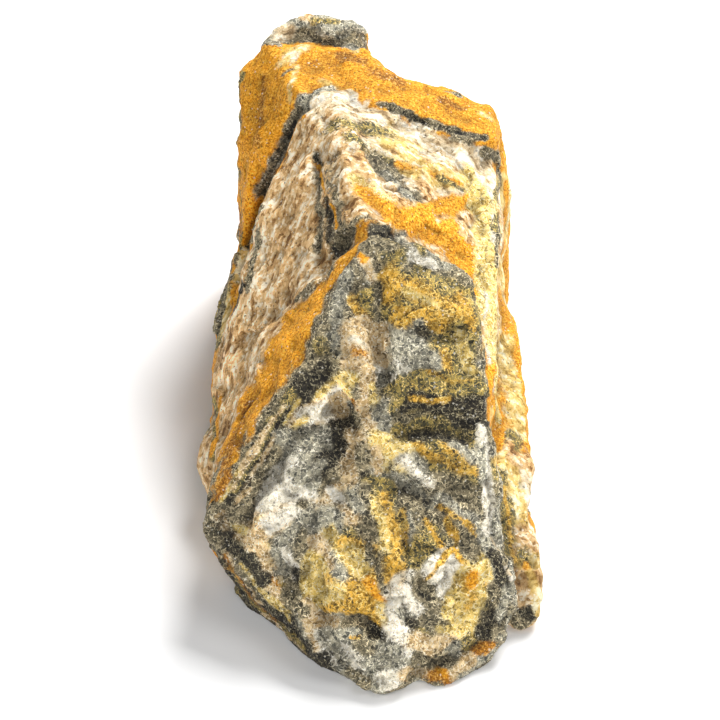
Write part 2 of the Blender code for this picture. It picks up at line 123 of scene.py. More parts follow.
# The patches of the broken front, the top and the flanks, with a heading for each place.
PATCHES = """
# The far block: iron ochre, brown in its pits, with a grey knob at the far end.
ochre 6.5 .6: -7.3 26.1 33.8, -2.4 24.4 33.7, 3.5 23 32.6, 8.9 22.4 30.9, 11.9 21.6 29.9
ochre 3 .6: -11.5 26.3 32, -11.9 21.2 28.3, -12.3 18.3 23.7, -12.9 16.3 20.4
straw .7 1.2: -9.1 26.4 33.6, -8 28.1 34, -6.9 28.9 34
straw .5 .9: -4.9 22.7 33.8, -3.4 21.6 33.6
straw .3 .7: -7.6 25.5 33.7, -8.1 22.5 34, -8.4 20.5 32.8
quartz .3 .6: -8.2 26.5 33.8, -7.6 27.4 33.9
ore .25 .5: -9.1 24.1 33.4, -8.3 25 33.7
straw .4 .8: -2.4 30.4 32.9, -1.3 28.7 33.6
rust .8 1.4: .5 24.8 33.7, 3.5 24 32.6
rust .8 .8: -2.5 27.7 33.7, -.6 26.7 33.6
rust .5 .9: -11.2 25.7 31.7, -11.4 23 29.7, -11.8 20 27.9
ore .4 .3: 8.4 24.4 31.3, 10 24.7 30.4
rust .5 .6: 7.8 22.5 31.4, 10.2 22.3 30.4
straw .4 .7: 12.4 22.2 29.7, 13.3 22.2 29.2
slate 2.2 .3: -10.5 31.7 33.6, -8.5 32.8 34.2, -5.4 32.9 34.9, -2.5 32.2 34.3, -1.4 31.6 33.6
quartz 1.1 .8: -9.8 31.4 33.5, -8.5 32.1 33.8
beige .8 .6: -7 33.5 34.7, -5.4 32.6 34.8, -4.1 32.3 34.5
olive .7 .7: -5.4 32.6 34.8, -3.2 32.2 34.3
ore .9 .5: -7.1 31.5 33.8, -4.6 31.4 33.9, -2.5 31.1 33.6, -.8 31.6 33.1
slate .6 .6: -5 31.7 34.1, -2.5 31.6 33.9
ore .3 .3: -10.9 29.8 33.6, -9.6 30.6 33.2, -7.4 31.4 33.5
# The face over the right flank: quartz, with olive and ochre streaks along the bands.
quartz 2.6 .6: -3.2 18.3 34.2, .5 16.3 33.2
quartz 2.4 .6: .5 16 33.2, 4.5 16.3 31.4, 8.3 15.7 29.4, 12.1 16.5 27.1, 13.1 14.8 26.4
quartz 2.2 .8: -1.9 10.8 34, 1.8 10.1 32, 6.6 9.9 29.9, 10.9 11.1 27.6
quartz 1.2 .6: -4.5 20.2 33.8, -5.1 18.1 34
beige 1.8 1.4: -2.7 10.8 34.2, -.2 8.4 32.9, 2.3 6.6 31.3
straw .9 1: 2.1 13.3 32.6, 4.7 14 31.3
beige 1.1 1.2: 3.6 8.4 30.7, 6.6 8.8 29.6
straw 1.4 1.4: 2.9 15.8 32, 4.9 15.5 31.2
straw 1.4 1.4: 3.2 10.9 31.6, 6.6 11.3 30.1, 10 11.8 28.4
olive .7 1: -4 14.4 33.9, -1.7 14 34, .7 15.2 33, 2.2 15.4 32.4
olive .6 1: -1.7 11.7 34, .4 10.9 33.1, 2.6 10.5 31.8
ore 1 .7: .7 10.4 32.8, 2.3 9.4 31.5, 3.8 8.3 30.6, 5.5 6.5 29.9
slate .6 .7: 2.1 8.9 31.4, 3.8 7.3 30.8, 4.8 6.6 30.2
ore .3 .5: 2.8 10.1 31.6, 4.2 8.6 30.6, 5.1 7 30.2
black .2 .4: 3.8 8.3 30.6, 5.2 6.6 30.1
ochre .3 .7: 3 16.3 32, 4.9 15.8 31.2
ochre .3 .7: 3.2 10.8 31.5, 6.6 11.2 30.1, 10 11.8 28.4
olive .3 .6: 7.7 11.3 29.3, 10.4 11.1 27.9
olive .2 .5: -1.9 12.8 34.1, 1.1 14.3 32.9
quartz .9 .6: 3.7 16.7 31.6, 6.9 16.5 30.2, 10.5 16 28.7, 13.2 16.8 26.5
quartz .7 .5: 7.7 16.9 30, 10.5 16.6 28.8, 13 17.6 27
quartz .6 .6: 3.8 9 30.8, 4.7 8.2 30.4
ore .4 .4: 1.1 19.2 33.4, 3 19.1 32.7
ore .5 .35: 3 19 32.6, 4.7 18.7 32, 6.7 18.5 31.4
ore .6 .35: 6.7 18.5 31.4, 8.6 18.2 30.8, 10.3 17.9 30.3, 12.6 18.4 29.4
black .25 .4: 3.5 18.9 32.4, 6.1 18.5 31.5
black .3 .4: 9.7 17.9 30.5, 12.7 18.4 29.3
ore .3 .5: 9 17.3 30, 11 17.3 29.3
ore .7 .4: 12.5 17.6 28.1, 14.1 19.8 25.8
ore .35 .4: 14.1 19.3 25.4, 14.5 18 23.3
# The left flank: sandy altered rock, a dark seam along its far edge, grey by the crack.
slate .8 .7: -6.8 19 33.1, -7.9 19 30.8, -9 18.9 28.1, -10.1 18.2 25.4, -11.5 17.5 22.1
ore .7 .6: -7 19.2 33, -7.9 19.1 31.4, -8.6 19.2 29.3
slate .6 .8: -6.8 19.4 33.6, -5.3 19.9 33.9, -3.8 21.2 33.6
ore .35 .5: -9.2 18.9 27.9, -10.3 18.2 25.1, -11.5 17.6 22.3
black .25 .4: -8 19.1 30.9, -8.7 19 28.8
ore .4 .5: -11.3 11 26.1, -12.2 9.6 23.4, -13.1 12.7 17.7
ore .6 .5: -11.8 8.7 24.1, -12.3 6.3 21.9, -12.8 3.7 20.4
black .8 .5: -13.6 5.1 19.3, -14.3 3.9 17.5
olive 1.6 .8: -13.8 14.3 18.6, -14.8 12.8 15.9, -15.8 9.8 13.8, -16.2 5 12.9
ore 1.2 .7: -14.5 12.6 16.9, -15.4 10.8 14.4
ochre .4 .4: -11.5 17.2 21.8, -12.8 15.4 19.4, -13.5 14.2 18.6
ochre .3 .4: -14.1 14.2 17.9, -14.6 11.8 16.4
straw .5 .5: -13.4 13.1 18.1, -14 10.3 16.2
ore .6 .5: -15.7 8.1 14.1, -16.2 5.5 12.9
straw .5 .5: -15.1 8.4 15, -15.6 4.6 13.9
ore 1 1.6: -3.6 8.8 32.9, -2.9 4.9 32, -3.1 2 29.6
black .5 .9: -4.4 5.4 30.9, -4 1.5 28.6
beige .9 1: -2.9 8.2 33.4, -1.9 4.9 32.6, -.6 2.2 32.1
black .35 .4: -5.5 12.3 31.7, -5 10.7 31.4
ore .6 .8: -5 10.5 31.3, -5.1 8 30.3, -5 4.8 29.4, -5.2 1.9 27.1
ochre .2 .2: -5.4 11.4 31.3, -4.5 7.1 31.2, -3.7 4.3 30.7, -3.1 2.2 29.7
black 1.1 .8: -1.7 .5 30.5, -2.7 .5 28.7, -3.4 -2.5 28.9
ore 1.3 .8: -.6 .5 31.5, -1.9 .9 29.9
ore .9 .7: -3.4 -2.5 28.9, -4.4 -3.6 27.4, -6.2 -3.9 25.5
ore .6 .6: -5.8 -2.9 26.2, -7.3 -2.7 24.5
olive .5 .5: -16.4 -2.3 10, -16.3 -6 9, -16.3 -9.5 8.5
ore .45 .5: -16.4 -2.8 9.3, -17.1 -5 7.8
ochre .4 .4: -15.5 -3.1 10.9, -16 -6.5 9.4, -16.4 -9 8.5
# The ochre seam: the ramp behind the broken front, and the band down its left.
pale_gold .8 .8: -1.7 6.4 33.3, 0 5.8 32.2, 1.7 4.6 31.5
ochre .9 .8: -.6 5.3 32.3, 1 3.7 31.4, 2.5 2.9 30.6
ochre 1.4 1.1: 2.5 2.9 30.6, 5.5 3.8 29, 8.6 5 27.2
ochre 1.1 .9: 5.3 5 29.7, 8.7 8.4 28, 10.7 10.4 27.3
ochre 1.7 1.1: 5.9 3.4 28.3, 8.2 3.6 26.7, 9.9 3.2 25.2
ochre 1.9 1.1: 9.2 3.4 25.8, 10.5 2.8 24.7, 11.3 .4 23.6
ochre .9 .8: 11.3 .4 23.6, 11.5 -9.9 27.2, 11.8 -12.5 25.4
ochre .9 .8: 11.8 -12.5 25.4, 12.3 -9.6 18.9, 12.6 -11.9 16.8
pale_gold 1.2 1.4: 10.9 13.9 28.2, 11.7 11.6 27.2, 12.4 9.7 25.6, 12.7 5.5 24.2
pale_gold 1.8 1.1: 12.7 11.4 26.3, 12.8 4.5 23.6, 12.9 -1.2 21.4
pale_gold 1.7 1.1: 12.9 1 22.4, 13.1 -4.4 18.6, 13.3 -9 15.7, 13.5 -9.8 13.7
frost .3 .8: 13.1 13.2 26.3, 13.3 6.9 24
frost .25 .5: 12.4 .6 22.7, 12.7 -7.1 19.6, 13 -10 16.6
ochre 1.3 1: .2 -.4 31.5, -1.6 -2.7 30.4, -3.7 -4.8 28.6
ochre 1.6 1.1: -4.7 -4.7 27.3, -6.5 -5.5 25.2, -8.1 -7.2 23.7
ochre 2.5 1.1: -7.8 -7.6 24, -9.4 -9.8 21.8, -10.9 -12.8 19.6
ochre 2.1 1.1: -10.9 -12.4 19.7, -12.1 -15 18.1, -13.1 -18.5 17.1
ochre 1.8 1.1: -13.1 -18.5 17.1, -14.3 -20.2 15.2, -15.5 -21.4 13.5
ochre 1.6 1.1: -5.8 -7.6 26.4, -7.2 -10.8 24, -8.4 -13.8 22.5
ochre .6 .6: -15.8 -21 13.6, -16.5 -21.5 11.3
rust .6 1.2: -12.6 -12 18.2, -13.8 -16 16.3, -14.7 -19.4 15.1
# The broken front: the telluride ore that lies under its other patches.
ore 2.4 1.1: .4 -3.2 32.4, -.8 -6.4 30.3, -2.4 -9.4 28.2, -3.4 -11.3 26.4
ore 2.6 1.1: 2.8 -5.5 31.3, 2.2 -8.8 29, 1 -10.7 26.6
ore 2.6 1.1: 7.3 -8.3 29.9, 6.3 -11.4 27.1, 6.3 -14.5 24.4
ore 2.6 1.1: 5.8 -15.2 23.7, 7.3 -18.1 19.5, 8.3 -22.3 16.4
ore 2.6 1.1: 9.4 -11.2 27, 10.2 -15.6 22.7, 10.6 -18.7 18.7
ore 2.4 1.1: 3.3 -16.2 21.9, 4.3 -20 18.4, 3.2 -24.1 15.3, 3.2 -27.3 12.7
ore 2.4 1.1: 7.3 -23.9 15.1, 10.4 -25.9 11.4, 11.4 -29.5 6.4
ore 2.4 1.1: -.8 -17.4 20.2, -3.9 -21.9 16, -6.9 -26.3 11.8, -8 -27.2 8.5
ore 2.4 1.1: -1.8 -22 16.1, -1.8 -26.7 12.1, .2 -30.8 9.1
ore 2.4 1.1: 5.3 -28.4 11, 5.3 -32.3 6.4, 7.3 -33.5 3.2, 11.4 -30.6 4.7
ore 2 1.1: -3.9 -12 25.7, -6.9 -15.3 21.8, -9.5 -17.5 18.9, -11.5 -19.6 16.7, -14.1 -21.9 13.3, \
    -16 -23.1 10.5
ore 2 1.1: -10 -23.2 14.5, -12.1 -23.8 11.6, -10.8 -26 10.8, -8.5 -28.3 6.7
ore 2 1.1: -2.9 -33.2 4.4, 1.2 -35.6 3.2, 6.3 -33.9 3
ore 1.5 1.1: 8.9 -7.1 29.6, 9.9 -8.6 28.8
# The head of the front: olive rock and gold-coloured ochre over blue-grey ore.
olive 1.2 1: 1 -.6 31.1, 3.3 -3.4 32.2, 5.3 -4.5 32
black 1 .8: 1 -.3 31.2, 2.9 .2 29.7, 4.1 -4.3 32
ore .8 .7: .8 -3.5 32.4, 2.3 -4.5 31.8
black .5 .6: -1.6 -4.7 30.7, -2.4 -6.7 29.9
slate .9 .8: 3.5 .7 29.3, 4.3 -5.1 31.5
frost .7 .7: 4.5 -4.9 31.6, 5.8 -5.5 31.3, 7.2 -5.5 31
slate .5 .6: 6.4 -4.4 31.7, 8.2 -5.1 30.7
olive 2.8 1.6: 2.8 -8 30.3, 5.8 -8.5 30, 8.9 -9.4 28.8, 9.9 -10.9 27.4
olive 2.2 1.4: 1.2 -8.3 28.6, 1.7 -10.6 27.1, .2 -10.9 26.8
gold 1 1.6: 3.1 -7.7 30.4, 6.3 -9 29.6, 9.2 -10.1 28.4
pale_gold .3 .6: 3.7 -8.4 30, 6.3 -9.3 29.4, 8.6 -10.4 27.9
gold 1 .9: 2 -6.6 30.5, 2 -8.7 28.9
gold .5 .9: 9.4 -8.2 29, 10.6 -11.4 27.2
slate .9 1: -2.1 -6.4 30.2, -2.7 -8.1 28.7, -3.5 -10 27.3
slate .5 .6: -.4 -5.3 31.2, 0 -6.9 30.1
buff .5 .7: -.2 -5.4 31.2, .4 -6.5 30.3
ore .5 .7: 1 -7.1 29.6, 1 -10.7 26.6
gold 1.2 1: 3.3 -10.3 27.8, 5.3 -11 27.6, 7.5 -10.8 27.7
gold .5 .7: -1.6 -8.2 28.5, -.2 -9.9 27.5
ochre .3 .3: -.8 -4 31.4, -.2 -4.9 31.4, -.4 -5.3 31.2
ochre .7 .7: -.8 -.8 30.4, -1.9 -3.3 30.3, -2.9 -4.6 29.5
# The middle of the front: blue-grey and olive patches, and a spur of tan rock.
slate 2 1.1: 2.2 -12.3 25.9, 4.3 -12.8 25.9, 6.5 -13.1 25.6
slate 2 1.1: 2.4 -14.2 24.2, 4.8 -14.5 24.2, 7.3 -14.2 24.8
frost .4 1: 3 -14 24.7, 4.5 -14.8 23.9
black .5 .8: 5.5 -11.5 26.9, 7.1 -11.9 26.5
slate .7 .7: 7.3 -12 26.3, 8.1 -12.8 25.7
olive 1.8 1.2: 8.9 -11.9 26.2, 9.9 -14.3 24.2, 10.4 -15.8 22.2
pale_gold .7 .9: 9.4 -11.5 26.6, 10.6 -14.3 24
gold .4 .9: 7.8 -12.8 25.7, 8.5 -15.5 23.3
olive 1.8 1.1: 4.8 -15.9 22.9, 8.3 -16.2 22.7, 10.6 -16 21.7
gold .6 .9: 4.5 -15.8 23.1, 7.3 -16.2 22.9, 9.6 -16.1 22.3
gold .2 .4: 6.3 -14.6 24.3, 8.5 -15.3 23.5, 10.4 -14.9 23.4
black .4 .6: 1.1 -11.9 25.2, 1.3 -13.4 23.8
black .3 .5: 1.6 -14.1 23.5, 2.8 -15.1 23.2
buff 1.9 1.1: -.8 -11.4 26.9, -.8 -13 25.8, -1.8 -14.2 24.7
buff 1.5 1.1: .4 -11.2 26.3, .6 -12.4 25.1
rust .4 .7: -1.4 -13.2 25.7, -.4 -13.1 25.6
frost .3 .8: -1.6 -12.2 26.5, -.2 -12.5 25.9
frost .5 .6: .8 -13.9 23.9, .2 -15.8 23.1
buff 1.1 .9: 0 -15 23.8, -.6 -16.6 22.5
ore .9 .8: -2.3 -15.1 23.9, -1.4 -16.6 22.7
slate 1 .8: -3.9 -12 25.7, -4.3 -13.7 24
olive .8 .8: -4.9 -12 25.3, -3.9 -13.5 24.6
pale_gold 1.3 1: -2.7 -15.3 23.2, -3.5 -15.2 21.8, -4.1 -15.6 21.1
frost .9 .8: -3.1 -15.1 22.5, -3.7 -15.3 21.4
buff .9 .8: -2.5 -15.4 21.7, -3.3 -15.4 20.6
rust .4 .4: -1.6 -16.2 21.8, -1 -16.7 20.9
buff .9 .8: -.6 -16.7 21.3, .2 -17.8 20
black .3 .4: -3.5 -15.6 20.3, -2.7 -16 19.9, -1.8 -17 19.8
pale_gold .6 .7: .4 -15.7 23.1, 1 -17 20.9
frost .4 .5: 2.4 -14.5 23.7, 2.8 -15.2 23.1
# The dark band beside the ochre seam, with thin tan streaks.
ore 1.6 1.1: -4.7 -13.5 24.2, -6.9 -15.3 21.8, -8.8 -16.7 19.9, -10.4 -18.5 17.7, -12 -20.4 15.8, \
    -13.9 -21.9 13.3, -15.8 -23 10.8
black 1.3 1: -5.1 -13.9 23.6, -6.9 -15.3 21.9, -8.6 -16.4 20.2
black .8 .8: -9 -16.7 19.8, -10.8 -18.7 17.6
black .7 .8: -10.6 -18.6 17.7, -12.5 -20.8 15.3, -14.3 -22 13.1
olive .5 .6: -7.8 -15.2 21.8, -9.8 -17 19.3, -11.8 -19.3 17, -13.9 -21.3 14.4
buff .22 .35: -8.5 -15.8 21, -10.2 -17.4 18.9, -12.1 -19.6 16.7, -13.9 -21.3 14.4
buff .22 .35: -9.4 -17.9 18.5, -11.4 -20.1 16.1, -13.3 -21.9 13.5
buff .2 .35: -10.8 -17.5 18.7, -12.7 -19.6 16.4, -14.9 -21.6 13.5
pale_gold .2 .35: -6.9 -15.5 21.5, -8.6 -17.2 19.5
buff .22 .35: -12 -21.5 14.5, -13.9 -22.7 12.4
pale_gold .2 .3: -13.1 -20.1 15.8, -15.1 -21.9 13
rust .4 .6: -14.3 -20.1 15.3, -15.1 -21 14.1, -15.8 -21.7 13.1
# The mounds at the left of the front: white quartz, black ore, grey and tan rock.
pale_gold 1.2 1: -2.7 -15.3 23, -3.5 -15.2 21.8, -4.3 -15.7 21.2
frost .7 .7: -3.1 -15.2 22.3, -3.9 -15.4 21.2
buff .8 .7: -2.5 -15.4 21.7, -3.1 -15.3 20.6
buff 1.3 1: -7.1 -17.5 19.6, -5.7 -17.1 20.2, -3.9 -16.1 20.2
frost .9 .8: -6.5 -17.2 20.1, -4.3 -16.4 20.4
pale_gold .5 .6: -7.4 -17.6 19.3, -6.3 -17.2 20.1
slate 1.8 1.1: -7.3 -18.8 18.2, -6.1 -18.5 18.5, -5.1 -19.2 18
slate 1.3 1: -8 -20.1 16.9, -5.7 -20.3 17.1
black 1.6 1.1: -2.9 -18.4 18.9, -3.7 -19.1 17.9, -4.5 -20.3 17.4
black 1.1 .9: -2 -18.2 19.3, -2.7 -19.4 17.9
slate .5 .6: -4.3 -18 19.1, -3.9 -18.9 18
slate .5 .6: -4.7 -20.5 17.2, -5.5 -21.2 16.5
frost 1.5 1.1: -8 -20.9 16.5, -9 -22 15.1, -10 -23.6 14.3
frost .9 .8: -8.6 -22 15.3, -10 -24 14.1, -11.4 -24.7 12
frost 1.4 1.1: -9.4 -23.4 14.4, -7.9 -22.8 14.9, -6.5 -22.6 15.6
slate .5 .6: -7.3 -21.4 16.4, -6.7 -22.2 15.8
frost .8 .7: -6.5 -23.1 15.2, -5.9 -23.6 14.8
slate .7 .7: -6.1 -21.5 16.5, -5.1 -22.1 16
frost 1.4 1.1: -11.4 -24.8 11.8, -10 -24.8 13.2, -8.1 -24.2 14.3
buff 1.5 1.1: -11.2 -25.3 11.4, -9.6 -25.2 12.7, -7.9 -24.7 13.9
pale_gold .4 .5: -11.6 -24.4 11.7, -10.6 -24.6 13
frost .9 .8: -10.2 -25.2 12.3, -8.5 -24.9 13.6, -7.2 -24.4 14.2
ore .5 .6: -6.9 -23.9 14.6, -5.7 -24.4 14.2
pale_gold 1 .8: -10.8 -26.1 10.5, -10.4 -26.8 8.8, -9.2 -28 7.1
buff 1.2 1: -11.4 -25.6 10.9, -10.8 -26.6 9.3, -9.8 -27.7 7.6
ochre .3 .4: -10 -27.6 7.7, -9.2 -28.4 6.8
buff 1.1 .9: -14.7 -23.3 11.2, -13.1 -23.9 11, -11.8 -24.2 11.5
pale_gold .4 .5: -13.9 -23.5 11.4, -12.5 -24 11.1
ore .8 .7: -13.9 -23 12.1, -12.7 -23 12.3
slate 1.4 1.1: -6.9 -25.7 12.6, -8.1 -26.6 10.7, -8 -27.2 8.5
ore 1.2 1: -6.3 -26.1 12.1, -6.7 -27.5 10.1, -7.3 -28.1 7.9
frost .4 .5: -8.3 -26.7 10.5, -8 -27 9.4
frost .4 .5: -7.3 -27.3 9.1, -7.5 -27.8 8
black .5 .6: -7.5 -27.5 8.5, -6.9 -29 8
ore .5 .6: -5.7 -25.1 13.4, -5.3 -26.7 11.5, -6.1 -28.3 8.8
# The right of the front: a dark band, an olive hill and a pale yellow ridge.
slate 1.4 1.1: 1.6 -17.2 20.7, 3 -17.8 19.9, 4.1 -18.4 19.5
olive 2 1.1: 3.8 -16.3 21.7, 6.3 -16.4 21.5, 9.4 -16.5 21.3, 11.6 -16 21.1
black 1.5 1.1: 4.5 -16.3 21.7, 7.3 -16.6 21.2, 10.4 -16.4 21, 11.8 -16.2 20.3
ore 1.2 1: 3.3 -17.7 19.9, 6.3 -18 19.6, 9.4 -18 19.4
slate .8 .8: 3.8 -18.2 19.6, 7.3 -18.3 19.4
frost .8 .7: 10.2 -17.6 19.3, 11.2 -18.1 18.9
gold .35 .5: 4.3 -16.1 22.1, 6.3 -16.3 21.7, 8.3 -16.3 22
black .7 .7: 7.3 -17.6 19.8, 10 -17.4 19.4
olive 2.3 1.1: 3.9 -19.5 18.8, 6.3 -19.4 19, 8.9 -20.5 18, 11.4 -21.3 16.3
olive 1.8 1.1: 6.3 -20.3 18.4, 8.9 -21.2 17.3, 11.2 -21.8 15.9
black .7 1: 4.7 -19 18.9, 7.3 -18.7 19.2, 9.6 -19.5 18.5
gold .4 .9: 4.9 -19.8 18.5, 7.3 -20.8 18, 9.5 -21.5 16.7
gold .3 .7: 7.3 -19.5 18.8, 9.6 -20.4 18, 11.2 -20.9 16.8
gold .2 .4: 7.9 -20.1 18.5, 9.1 -20.9 17.6, 10.4 -21.4 16.7, 11.9 -21.6 15.6
slate .5 .7: 8.7 -19.6 18.6, 10.8 -20.4 17.5
pale_gold 1.6 1.1: .6 -19.5 19.1, 2 -20.4 18.2, 2.8 -21.5 17
pale_gold 1.2 1: 2 -20.1 18.5, 3.6 -21.3 17.7, 5.3 -22.1 17
slate .8 .8: 3.2 -20.7 18, 4.7 -21.5 17.3, 6.3 -22.7 16.7
pale_gold .8 .8: 1 -19.4 19.2, 3 -20.5 18.1, 4.7 -21.7 17.2
slate .7 .9: 4.5 -21.2 17.6, 6.9 -22.7 16.7
buff .6 .7: .4 -20 18.4, 1.2 -21.6 16.9
buff 1.3 1: -1.2 -19 18.9, -.8 -20.7 17.4, -1.6 -21.8 16.2
ore .8 .8: -.6 -19.6 18.4, -.2 -21.6 16.8
black .4 .6: -.2 -21.7 16.7, .8 -22.9 15.8
buff .7 .8: -2.9 -22.3 15.5, -3.9 -23.2 15, -4.9 -24 14.6
frost .6 .6: -3.5 -22.5 15.2, -2.9 -23.2 14.5
slate 1.6 1.2: 3 -22.6 16.1, 4.9 -23.2 15.6, 6.3 -23.8 15.6
ore 1.4 1.1: 6.9 -22.9 16.6, 9.3 -22.9 15.5, 11.4 -22.8 14.6
black .6 1: 3.6 -23.4 15.5, 5.3 -24.2 15.1, 8.3 -23.8 15
slate 1 1: 7.9 -24.1 14.7, 10.4 -24.6 13
gold .25 .6: 7.3 -24.3 14.6, 9.5 -24.8 13.2, 11.2 -25.4 11.7
frost .4 .9: 3.2 -20.9 17.9, 4.9 -21.9 17.1, 6.5 -22.9 16.6
ore 1.8 1.1: 4.2 -25.1 14.6, 5.3 -27 12.4, 6.3 -28.6 10.5
slate .9 .9: 3.6 -25.8 14.1, 4.4 -27.5 12.2
olive 1.2 1: 6.3 -26.4 12.6, 5.3 -28.4 11
gold .3 .5: 3.4 -25.1 14.8, 4 -27.2 12.6, 3.6 -30.2 10.6
gold .3 .5: 5.8 -25.4 13.8, 7.3 -26.9 11.7
gold .3 .5: 7.9 -25.1 13.4, 9.1 -26.2 11.7
olive 1.4 1.1: .8 -23.2 15.6, 2 -25.8 14.1, 2.6 -27.9 11.9
pale_gold .7 .9: .2 -23.7 15.2, 1.4 -25.8 14.1, 2 -27.6 12.3
gold .5 .9: 1.6 -23.9 15.4, 2.6 -26.1 13.7, 3 -27.8 12.1
ore .7 .8: -.2 -23 15.6, -.6 -24.7 14.5, .4 -26.8 12.9
slate .8 .8: -1.6 -22.8 15.4, -1.2 -24.3 14.6
buff .8 .9: -2.9 -24.2 13.7, -1.6 -25.4 13.7
slate 1.9 1.1: -4.3 -25 13, -3.3 -26.7 11.5, -2.3 -28.2 10.8
pale_gold .8 1.2: -3.7 -25.6 11.9, -2.4 -28.2 10.8
buff .9 1: -4.9 -26.7 11.5, -3.9 -29.2 9.6
olive .9 .9: -1.6 -26.3 12.5, -.6 -28.4 11
slate .8 .7: -2.8 -29.4 9.8, -1.3 -30.7 8.9
# The foot of the front: patches of gold-coloured ochre, and white quartz.
pale_gold 1.3 1: -5.3 -27.9 9.6, -5.5 -28.6 8.4, -5.6 -30.2 7.1
buff .5 .7: -6.1 -30.2 7.1, -5.8 -31.1 6.2
gold 1.8 1.1: -1.2 -27.7 11.4, -.2 -29.3 10.2, 1.6 -30.8 8.8
pale_gold 1 .9: -1.6 -27.6 11.3, -.6 -29.3 10.2
gold 1.8 1.1: -3.9 -31.1 7.9, -1.8 -31.5 8.1, .4 -31.9 7.9
gold 1 .9: -4.3 -31 7, -1.8 -32 7.4
pale_gold .9 .9: -4.5 -30.3 7.4, -3 -30.5 8.5
ochre .6 .8: 0 -30 9.7, 1.4 -31.4 8.2
gold .8 .8: 2.4 -28.6 11.2, 3.2 -30.8 9.8
ore .4 .6: -.2 -27.3 12, 1 -29.3 10.4, 1.6 -30.7 9
gold .35 .4: -1 -31.9 7.9, .4 -32.4 6.7, 1.4 -33.1 5.7, 2.4 -34.2 5.3
pale_gold .8 .7: 1.2 -31.9 7.6, 2.4 -33.6 6.2
frost 1.4 1.1: 3.2 -31.6 8.7, 2.8 -33 7, 3 -34.3 5.1
frost 1.1 .9: 4.2 -30.9 9.2, 4.6 -31.6 7.9
frost 1.2 1: 6.5 -29 9.9, 7.9 -28.1 9.9, 9.1 -28.1 9
frost 1.1 .9: 7.9 -29.3 8.5, 7.3 -30.4 7.6
frost .9 .8: 4.4 -33.8 5, 3.6 -34.8 3.8
slate .5 .6: 3.4 -32.3 7.5, 4.4 -32.6 6.6
frost .9 .8: 6.7 -29.1 9.7, 7.9 -28.3 9.6, 8.9 -28.3 8.9
gold .28 .25: 5.8 -29.6 9.2, 6.9 -28.5 10.2, 8.1 -27.2 10.9, 8.8 -26.8 11.1, 9.3 -27.4 10.1, \
    10 -27.5 9.7
ore .9 .8: 5.3 -30.3 8.8, 6.3 -30.5 8.2, 6.7 -31 7.3
black .35 .5: 5.5 -30.4 8.7, 6.5 -30.9 7.7
black .5 .6: 4.4 -32.7 6.4, 5.3 -33.1 5.4
ore .8 .7: 6.9 -31.1 7.1, 7.9 -31.8 5.8
pale_gold 1.6 1.1: 10.4 -28.3 8.5, 11.4 -27.8 9.1, 12.6 -28.3 8.1
gold 1.5 1.1: 10.6 -29.1 7.5, 12.4 -28.9 7, 13 -29.1 6
pale_gold .8 .8: 11 -29 7.4, 12.4 -29.1 6.6
gold 1.6 1.1: 10 -30.1 5.9, 10.8 -31.3 4.2
pale_gold 1.1 .9: 8.9 -29.9 6.9, 9.1 -31.2 5.3, 10.6 -31 4.8
olive 1.1 1: 11.8 -30 5, 11.6 -31.1 3.8, 10.2 -32.4 3.3
pale_gold .6 .8: 11.2 -29.8 5.9, 11 -31.6 3.6
ochre .4 .6: 11 -27.8 9.1, 10.4 -28.7 7.9
slate .9 .9: 7.3 -33.1 4.2, 8.9 -33.1 2.9
olive .9 .9: 5.3 -33.4 5.1, 6.7 -33.5 3.8
pale_gold .5 .7: 7.3 -32.5 5.1, 9.5 -32.3 4.3
buff .9 .8: 4.6 -33.7 4.9, 6.3 -33.5 4, 7.9 -33 4
slate 1.2 1: 12.4 -25.5 11.1, 13.2 -26.9 9.6, 13.6 -27.9 7.8
ore 1.2 1: 13.4 -28.3 7.4, 13.7 -29.3 4.9, 12.6 -30.9 3.6
black .9 .8: 13 -26.8 10, 13.9 -27.8 7.7
black .7 .7: 13.1 -29.6 4.8, 11.8 -31.3 3.4
slate .5 .6: 14.1 -28.2 6.6, 13.5 -29.7 4.5
# The chin and the lip under it: grey ore with quartz, rust and tan rock.
slate 2.4 1.1: -3.4 -33 4.2, -1.3 -34.5 3.5, .7 -35.2 3.5
slate 1.6 1.1: -3.7 -32.5 4.8, -2 -33.5 6
black .6 .6: -.8 -32.5 6.4, .2 -32.9 5.7, 1 -33.3 5.3
ore .6 .6: -2.4 -32.7 6.1, -1 -32.6 6.3
frost .5 .7: -2.3 -33.8 4.1, -.6 -34.8 3.8
ore .8 .8: -.6 -34.3 4.8, .8 -34.7 4.1
frost .45 .5: -5.5 -31.8 5.5, -4.8 -33.4 3.9, -3.5 -34.6 2.7
buff .6 .6: -5.9 -31.1 6.3, -4.9 -31.7 5.5, -3.5 -32.2 5.9
slate 1 .8: 1.7 -34.9 4, 3.7 -35.8 2.4
frost .3 .5: -1.2 -35 2.7, -.2 -35.5 2.6
gold .2 .3: -1.8 -33.9 5.3, -1 -33.9 5.3
frost .8 .7: .6 -36.7 1.6, 2 -36.6 2.1, 3.4 -36.1 2.1
slate 1 .8: -.3 -36.3 1, 1.2 -37.2 1
buff .6 .6: 3.4 -36.1 2.1, 6.1 -34.9 1.5
rust .6 .6: 6.7 -35 1.3, 7.9 -35.1 .8
ochre .4 .4: 7.1 -34.6 1.5, 7.9 -34.8 1.1
buff .6 .6: 8.5 -34.5 1.1, 10.8 -33 1.4
rust .5 .6: 11.4 -32.4 1.9, 12.4 -31.9 2.1
ore .5 .6: -1.8 -35.5 2.1, -.2 -36.3 1.2
frost .3 .4: 1.4 -37.2 1.2, 2.8 -36.8 1.4
# The lower left side: black and olive, thinly streaked with tan rock.
black 1.8 1.1: -15.2 -24.4 9.6, -13.9 -25.6 6.7, -12.1 -26.2 3.6
black 1.8 1.1: -11.1 -27.3 3.5, -7.6 -30.5 1.6, -4.4 -33.7 1.4
